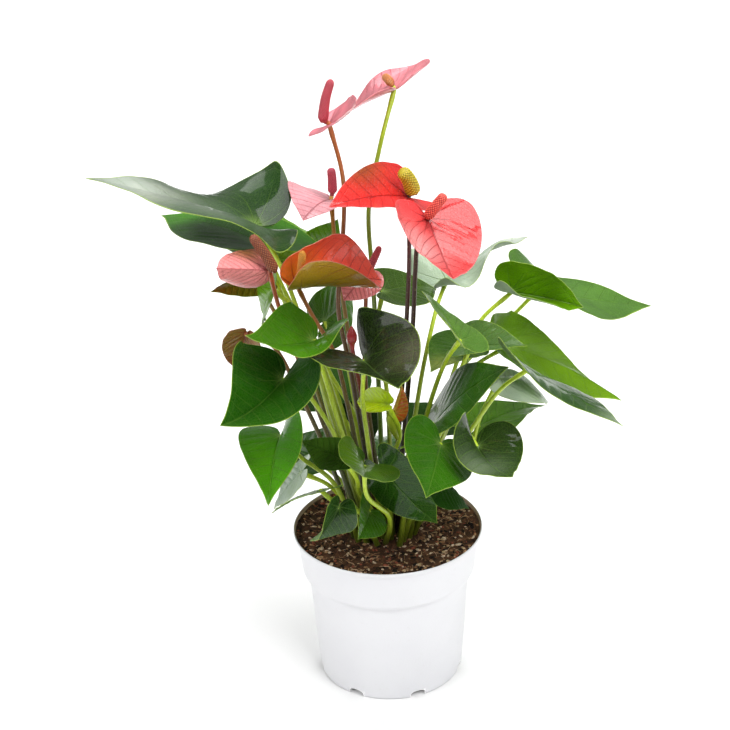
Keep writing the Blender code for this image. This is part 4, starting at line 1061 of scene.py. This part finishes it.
def spadix_part(name, bloom, end, foot, top):
    """A spadix covered with small florets in a diamond pattern."""
    _, at, turn = blade_frame(BLOOMS[bloom])
    start = at + turn[2] * (BLOOM_POKE + GAP)
    neck = start + turn[2] * STIPE
    middle = (neck + np.array(end)) / 2 + turn[2] * SPADIX_BOW
    body = smooth_curve([neck, middle, end], FLORET_ROWS)
    path = np.vstack([start, (start + neck) / 2, body])
    share = np.concatenate([[0, 0], np.linspace(0, 1, FLORET_ROWS)])
    tip = np.clip((share - SPADIX_TIP) / (1 - SPADIX_TIP), 0, 1)
    radii = foot + (top - foot) * share
    radii *= np.sqrt(np.clip(1 - tip * tip * SPADIX_TIP_ROUND, 0, 1))
    radii *= 1 - SPADIX_WAIST * np.exp(-share / SPADIX_WAIST_END)
    radii[:2] = STIPE_RADIUS
    points, faces = tube(path, radii, FLORET_SIDES)
    run = np.concatenate([[0, 0, 0], np.cumsum(np.linalg.norm(np.diff(body, axis=0), axis=1))])
    u = np.repeat(run / FLORET_PITCH, FLORET_SIDES)
    v = np.tile(np.arange(FLORET_SIDES) / FLORET_SIDES * FLORETS_AROUND, len(path))
    knob = np.clip(0.5 + 0.5 * np.cos(2 * math.pi * u) * np.cos(2 * math.pi * v), 0, 1)
    live = np.repeat((share > 0) & (share < FLORET_BARE_END), FLORET_SIDES)
    out = points - np.repeat(path, FLORET_SIDES, axis=0)
    out /= np.maximum(np.linalg.norm(out, axis=1), 1e-9)[:, None]
    points = points + out * (FLORET_RELIEF * (knob ** 1.2 - 0.5) * live)[:, None]
    # Painted shade between the florets, lighter tops and a painted highlight on each top.
    skin = rgb(*FLORETS[name]) * (FLORET_GAP_SHADE + FLORET_TOP_LIGHT * knob[:, None])
    skin += np.clip(rgb(*FLORET_HIGHLIGHT) - skin, 0, 1) * (knob[:, None] ** 8) * FLORET_HIGHLIGHT_SHARE
    return {"points": points, "faces": faces, "look": "spadix", "skin": np.clip(skin, 0, 1)}


def pot_profile():
    """Half section of the pot from axis to axis, and the number of its points outside."""
    foot = POT_SIDE[0][0] - POT_FOOT
    floor = POT_RECESS + POT_FLOOR
    outer = [(0, 0), (POT_PAD_RADIUS, 0), (POT_PAD_RADIUS + 1, POT_RECESS)]
    outer += [(foot + out, z) for out, z in POT_FOOT_EDGE] + list(POT_OUTSIDE)
    inner = list(POT_INSIDE) + [(r - POT_WALL, z) for r, z in POT_FOLLOWED]
    radii, heights = zip(*POT_SIDE)
    inner += [(float(np.interp(floor, heights, radii)) - POT_WALL, floor), (0, floor)]
    return outer + inner, len(outer)


def notch_cutter(angle):
    """A round-topped bar across the pot's foot ring."""
    swings = [math.pi * j / NOTCH_STEPS for j in range(NOTCH_STEPS + 1)]
    ring = [(NOTCH_HALF_WIDTH * math.cos(s), NOTCH_RISE + NOTCH_RISE * math.sin(s)) for s in swings]
    ring = [(NOTCH_HALF_WIDTH, -NOTCH_DROP)] + ring + [(-NOTCH_HALF_WIDTH, -NOTCH_DROP)]
    ends = (POT_SIDE[0][0] - NOTCH_REACH, POT_SIDE[0][0] + NOTCH_REACH)
    points = np.array([(along, across, z) for along in ends for across, z in ring])
    mesh = bpy.data.meshes.new("notch")
    mesh.from_pydata((turned(points, 0, 1, angle) * MM).tolist(), [], tube_faces(2, len(ring)))
    return bpy.data.objects.new("notch", mesh)


def white_pot():
    """The pot, turned round its axis and notched at its foot."""
    profile, outside = pot_profile()
    points, faces = lathe(profile, POT_FINE_SIDES)
    skin = []
    for i, (r, _) in enumerate(profile):
        tone = rgb(*(POT_WHITE if i < outside else POT_STAIN))
        skin += [tone] * (POT_FINE_SIDES if r else 1)
    part = {"points": points, "faces": faces, "look": "pot", "skin": np.array(skin)}
    pot = fine_mesh("white_pot", [part])
    group = bpy.data.collections.new("cutters")
    bpy.context.scene.collection.children.link(group)
    for k in range(NOTCH_COUNT):
        group.objects.link(notch_cutter(math.radians(NOTCH_TURN + 360 / NOTCH_COUNT * (k + 0.5))))
    step = pot.modifiers.new("cut", "BOOLEAN")
    step.operation = "DIFFERENCE"
    step.solver = "EXACT"
    step.operand_type = "COLLECTION"
    step.collection = group
    graph = bpy.context.evaluated_depsgraph_get()
    mesh = bpy.data.meshes.new_from_object(pot.evaluated_get(graph))
    pot.modifiers.clear()
    pot.data = mesh
    for cutter in list(group.objects):
        bpy.data.objects.remove(cutter)
    bpy.data.collections.remove(group)
    mesh.set_sharp_from_angle(angle=math.radians(POT_SHARP_ANGLE))
    return pot


def soil_part(feet):
    """Peat: lumpy, and a little higher at the wall and round each stem."""
    rings, sides = SOIL_FINE_RINGS, SOIL_FINE_SIDES
    radii = SOIL_BRIM * (np.arange(1, rings + 1) / rings) ** SOIL_RING_POWER
    turn = np.arange(sides) * 2 * math.pi / sides
    x = np.concatenate([[0], (radii[:, None] * np.cos(turn)).ravel()])
    y = np.concatenate([[0], (radii[:, None] * np.sin(turn)).ravel()])
    z = SOIL_TOP + SOIL_RISE
    for height, *wave in SOIL_WAVES:
        z = z + height * waves(x / WAVE_SPAN, y / WAVE_SPAN, *wave)
    z += SOIL_BRIM_RISE * np.clip((np.hypot(x, y) - SOIL_BRIM_START) / SOIL_BRIM_WIDTH, 0, 1) ** 2
    for fx, fy in feet:
        z += SOIL_CUFF * np.exp(-((x - fx) ** 2 + (y - fy) ** 2) / SOIL_CUFF_WIDTH ** 2)
    top = np.stack([x, y, z], 1)
    faces = [(0, 1 + k, 1 + (k + 1) % sides) for k in range(sides)]
    for i in range(rings - 1):
        for k in range(sides):
            p, q = 1 + i * sides + k, 1 + i * sides + (k + 1) % sides
            faces.append((p, p + sides, q + sides, q))
    shift = 1 + (rings - 1) * sides
    n = len(top)
    low = np.column_stack([top[shift:, :2] * SOIL_LOW_SHARE, np.full(sides, SOIL_LOW)])
    for k in range(sides):
        faces.append((shift + k, n + k, n + (k + 1) % sides, shift + (k + 1) % sides))
    faces.append(tuple(range(n + sides - 1, n - 1, -1)))
    points = np.vstack([top, low])
    tone = 0.5 + 0.5 * waves(*points.T[:2] / WAVE_SPAN, *SOIL_TONE_WAVE)
    skin = blend(SOIL_DARK, SOIL_LIGHT, tone[:, None] ** SOIL_TONE_POWER)
    return {"points": points, "faces": faces, "look": "soil", "skin": skin}, top


def peat_height(top, x, y):
    """Height of the peat at one place or at several, from its nearest point."""
    gap = np.subtract.outer(x, top[:, 0]) ** 2 + np.subtract.outer(y, top[:, 1]) ** 2
    return top[np.argmin(gap, axis=-1), 2]


def bark_chip(draw, ball, faces, top):
    """A flat rough chip, tilted and half in the peat."""
    r = CHIP_RANGE * math.sqrt(draw.uniform())
    turn = draw.uniform(0, 2 * math.pi)
    x, y = r * math.cos(turn), r * math.sin(turn)
    size = draw.uniform(*CHIP_SIZES) * draw.uniform(*CHIP_STRETCH)
    shape = np.array([size, size * draw.uniform(*CHIP_WIDTHS), size * draw.uniform(*CHIP_HEIGHTS)])
    rough = 1 + draw.uniform(-CHIP_ROUGH, CHIP_ROUGH, len(ball))
    tilt, spin = draw.uniform(-CHIP_TILT, CHIP_TILT), draw.uniform(0, 2 * math.pi)
    points = turned(turned(ball * rough[:, None] * shape, 0, 2, tilt), 0, 1, spin)
    tone = rgb(*CHIP_TONES[draw.integers(len(CHIP_TONES))])
    return {"points": points + [x, y, peat_height(top, x, y) + CHIP_LIFT], "faces": faces,
            "look": "soil", "skin": tone}


def fibre(draw, feet, top):
    """A bent fibre lying on the peat, or nothing where a stem or the wall is too near."""
    r = FIBRE_RANGE * math.sqrt(draw.uniform())
    turn = draw.uniform(0, 2 * math.pi)
    spin = draw.uniform(0, 2 * math.pi)
    length = draw.uniform(*FIBRE_LENGTHS)
    bend = draw.uniform(-FIBRE_BEND, FIBRE_BEND)
    step = np.linspace(-0.5, 0.5, FIBRE_POINTS)
    heading = spin + bend * step
    x = r * math.cos(turn) + np.cumsum(np.cos(heading)) * length / FIBRE_POINTS
    y = r * math.sin(turn) + np.cumsum(np.sin(heading)) * length / FIBRE_POINTS
    to_stem = np.hypot(feet[:, 0] - x[:, None], feet[:, 1] - y[:, None]).min()
    if np.hypot(x, y).max() > FIBRE_LIMIT or to_stem < FIBRE_CLEAR:
        return []
    lift = np.sin(math.pi * (step + 0.5)) * draw.uniform(*FIBRE_LIFTS)
    radii = draw.uniform(*FIBRE_RADII) * (1 - np.abs(step))
    tone = rgb(*FIBRE_TONES[draw.integers(len(FIBRE_TONES))])
    path = np.stack([x, y, peat_height(top, x, y) + lift], 1)
    return [tube_part(path, radii, np.tile(tone, (FIBRE_POINTS, 1)), FIBRE_SIDES, "soil")]


def peat_bed(feet):
    """The peat with its chips and fibres."""
    draw = np.random.default_rng(BITS_SEED)
    ground, top = soil_part(feet)
    ball, faces = lathe(CHIP_FORM, CHIP_SIDES)
    parts = [ground] + [bark_chip(draw, ball, faces, top) for _ in range(CHIP_COUNT)]
    for _ in range(FIBRE_COUNT):
        parts += fibre(draw, np.array(feet), top)
    return fine_mesh("peat_bed", parts)


def dress(piece, node):
    """Put a piece in the place of a plain solid, on the one body."""
    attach(piece, "root")
    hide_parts(node)


def add_leaves(routes):
    """Each leaf with its stem."""
    for i, (name, f) in enumerate(LEAVES.items()):
        look = ("shaded", "shaded") if name in INNER else ("leaf", "under")
        parts = [blade_part(name, f, SEED_STEP * i, QUILT, *look),
                 stalk_part(name, routes[name], f)]
        dress(fine_mesh(name + "_green", parts), name)


def add_pairs(routes):
    """Each pair of young leaves on its forked stem."""
    for i, (name, (first, second, share)) in enumerate(PAIRS.items()):
        look = ("leaf", "under") if name == "young_leaves" else ("young", "young")
        f, g = PAIR_LEAVES[first], PAIR_LEAVES[second]
        parts = [blade_part(first, f, PAIR_SEEDS[0] + i, YOUNG_QUILT, *look),
                 stalk_part(first, routes[first], f),
                 blade_part(second, g, PAIR_SEEDS[1] + i, YOUNG_QUILT, *look),
                 branch_part(name, routes[first], share, g)]
        dress(fine_mesh(name + "_fine", parts), name)


def add_blooms(routes):
    """Each spathe with its stalk, then the spadices and the bud."""
    for i, (name, f) in enumerate(BLOOMS.items()):
        parts = [blade_part(name, f, BLOOM_SEED + SEED_STEP * i, QUILT, "spathe", "spathe"),
                 stalk_part(name, routes[name], f, BLOOM_POKE)]
        dress(fine_mesh(name + "_spathe", parts), name)
    for name, row in SPADICES.items():
        dress(fine_mesh(name + "_florets", [spadix_part(name, *row)]), name)
    dress(fine_mesh("bud_red", [bud_part(routes["bud"])]), "bloom_bud")


LOOKS = {
    "shaded": blade_look("leaf_shaded", (60, 100, 30), 0.2, (80, 120, 30), 0.5, 0.6, 0.0008,
                         Specular_IOR_Level=0.1),
    "leaf": blade_look("leaf_top", (116, 160, 60), 0.2, (160, 190, 70), 0.7, 0.42, 0.001,
                       Specular_IOR_Level=0.1, Coat_Weight=0.4, Coat_Roughness=0.09),
    "under": blade_look("leaf_under", (168, 190, 120), 0.4, (168, 190, 90), 0.6, 0.5, 0.0004,
                        Specular_IOR_Level=0.2),
    "young": blade_look("leaf_young", (176, 196, 70), 0.4, (190, 190, 90), 0.5, 0.26, 0.0003,
                        Coat_Weight=0.4, Coat_Roughness=0.1),
    "spathe": blade_look("spathe_skin", (140, 10, 18), 0.46, (246, 150, 150), 0.35, 0.4, 0.001,
                         Specular_IOR_Level=0.3, Coat_Weight=0.6, Coat_Roughness=0.1),
    "stem": stem_look(), "spadix": spadix_look(), "pot": pot_look(), "soil": soil_look(),
}

routes = stem_routes()
add_leaves(routes)
add_pairs(routes)
add_blooms(routes)
dress(white_pot(), "pot")
dress(peat_bed([route[0][:2] for route in routes.values()]), "soil")


def white_floor():
    """A plain white floor, wide enough to fill the picture."""
    mesh = bpy.data.meshes.new("floor")
    mesh.from_pydata([(-FLOOR_REACH, -FLOOR_REACH, 0), (FLOOR_REACH, -FLOOR_REACH, 0),
                      (FLOOR_REACH, FLOOR_BACK, 0), (-FLOOR_REACH, FLOOR_BACK, 0)],
                     [], [(0, 1, 2, 3)])
    floor = bpy.data.objects.new("floor", mesh)
    g = Graph("floor_white", Roughness=0.9)
    tone = g.mix(g.spots(3.0), (0.9, 0.9, 0.9), (0.92, 0.92, 0.92))
    g.join(g.shader.inputs["Base Color"], tone)
    mesh.materials.append(g.material)
    bpy.context.scene.collection.objects.link(floor)


def studio_world():
    """A dim white world that the camera sees as plain white."""
    world = bpy.data.worlds.new("studio")
    bpy.context.scene.world = world
    world.use_nodes = True
    tree = world.node_tree
    back = tree.nodes["Background"]
    path = tree.nodes.new("ShaderNodeLightPath")
    shade = tree.nodes.new("ShaderNodeMapRange")
    shade.inputs[3].default_value = WORLD_LIGHT
    shade.inputs[4].default_value = 1.0
    tree.links.new(path.outputs["Is Camera Ray"], shade.inputs[0])
    tree.links.new(shade.outputs[0], back.inputs["Strength"])
    back.inputs["Color"].default_value = (1, 1, 1, 1)


def hang_lamps():
    """Soft square lamps, which the camera doesn't see."""
    for name, at, goal, size, power in LAMPS:
        lamp = bpy.data.lights.new(name, "AREA")
        lamp.size = size
        lamp.energy = power
        obj = bpy.data.objects.new(name, lamp)
        bpy.context.scene.collection.objects.link(obj)
        obj.visible_camera = False
        obj.visible_glossy = name != "back"
        obj.location = at
        way = Vector(goal) - Vector(at)
        obj.rotation_euler = way.to_track_quat("-Z", "Y").to_euler()


def set_camera():
    """The photo's camera."""
    camera = bpy.data.cameras.new("camera")
    camera.sensor_width = CAMERA_SENSOR
    camera.lens = CAMERA_LENS
    camera.clip_end = CAMERA_FAR
    obj = bpy.data.objects.new("camera", camera)
    bpy.context.scene.collection.objects.link(obj)
    obj.location = np.array(CAMERA_AT) * MM
    obj.rotation_euler = (math.radians(90 - CAMERA_PITCH), 0, 0)
    bpy.context.view_layer.update()
    obj.matrix_world = obj.matrix_world @ Matrix.Rotation(math.radians(CAMERA_ROLL), 4, "Z")
    bpy.context.scene.camera = obj
    bpy.context.scene.view_settings.view_transform = "Standard"


white_floor()
studio_world()
hang_lamps()
set_camera()
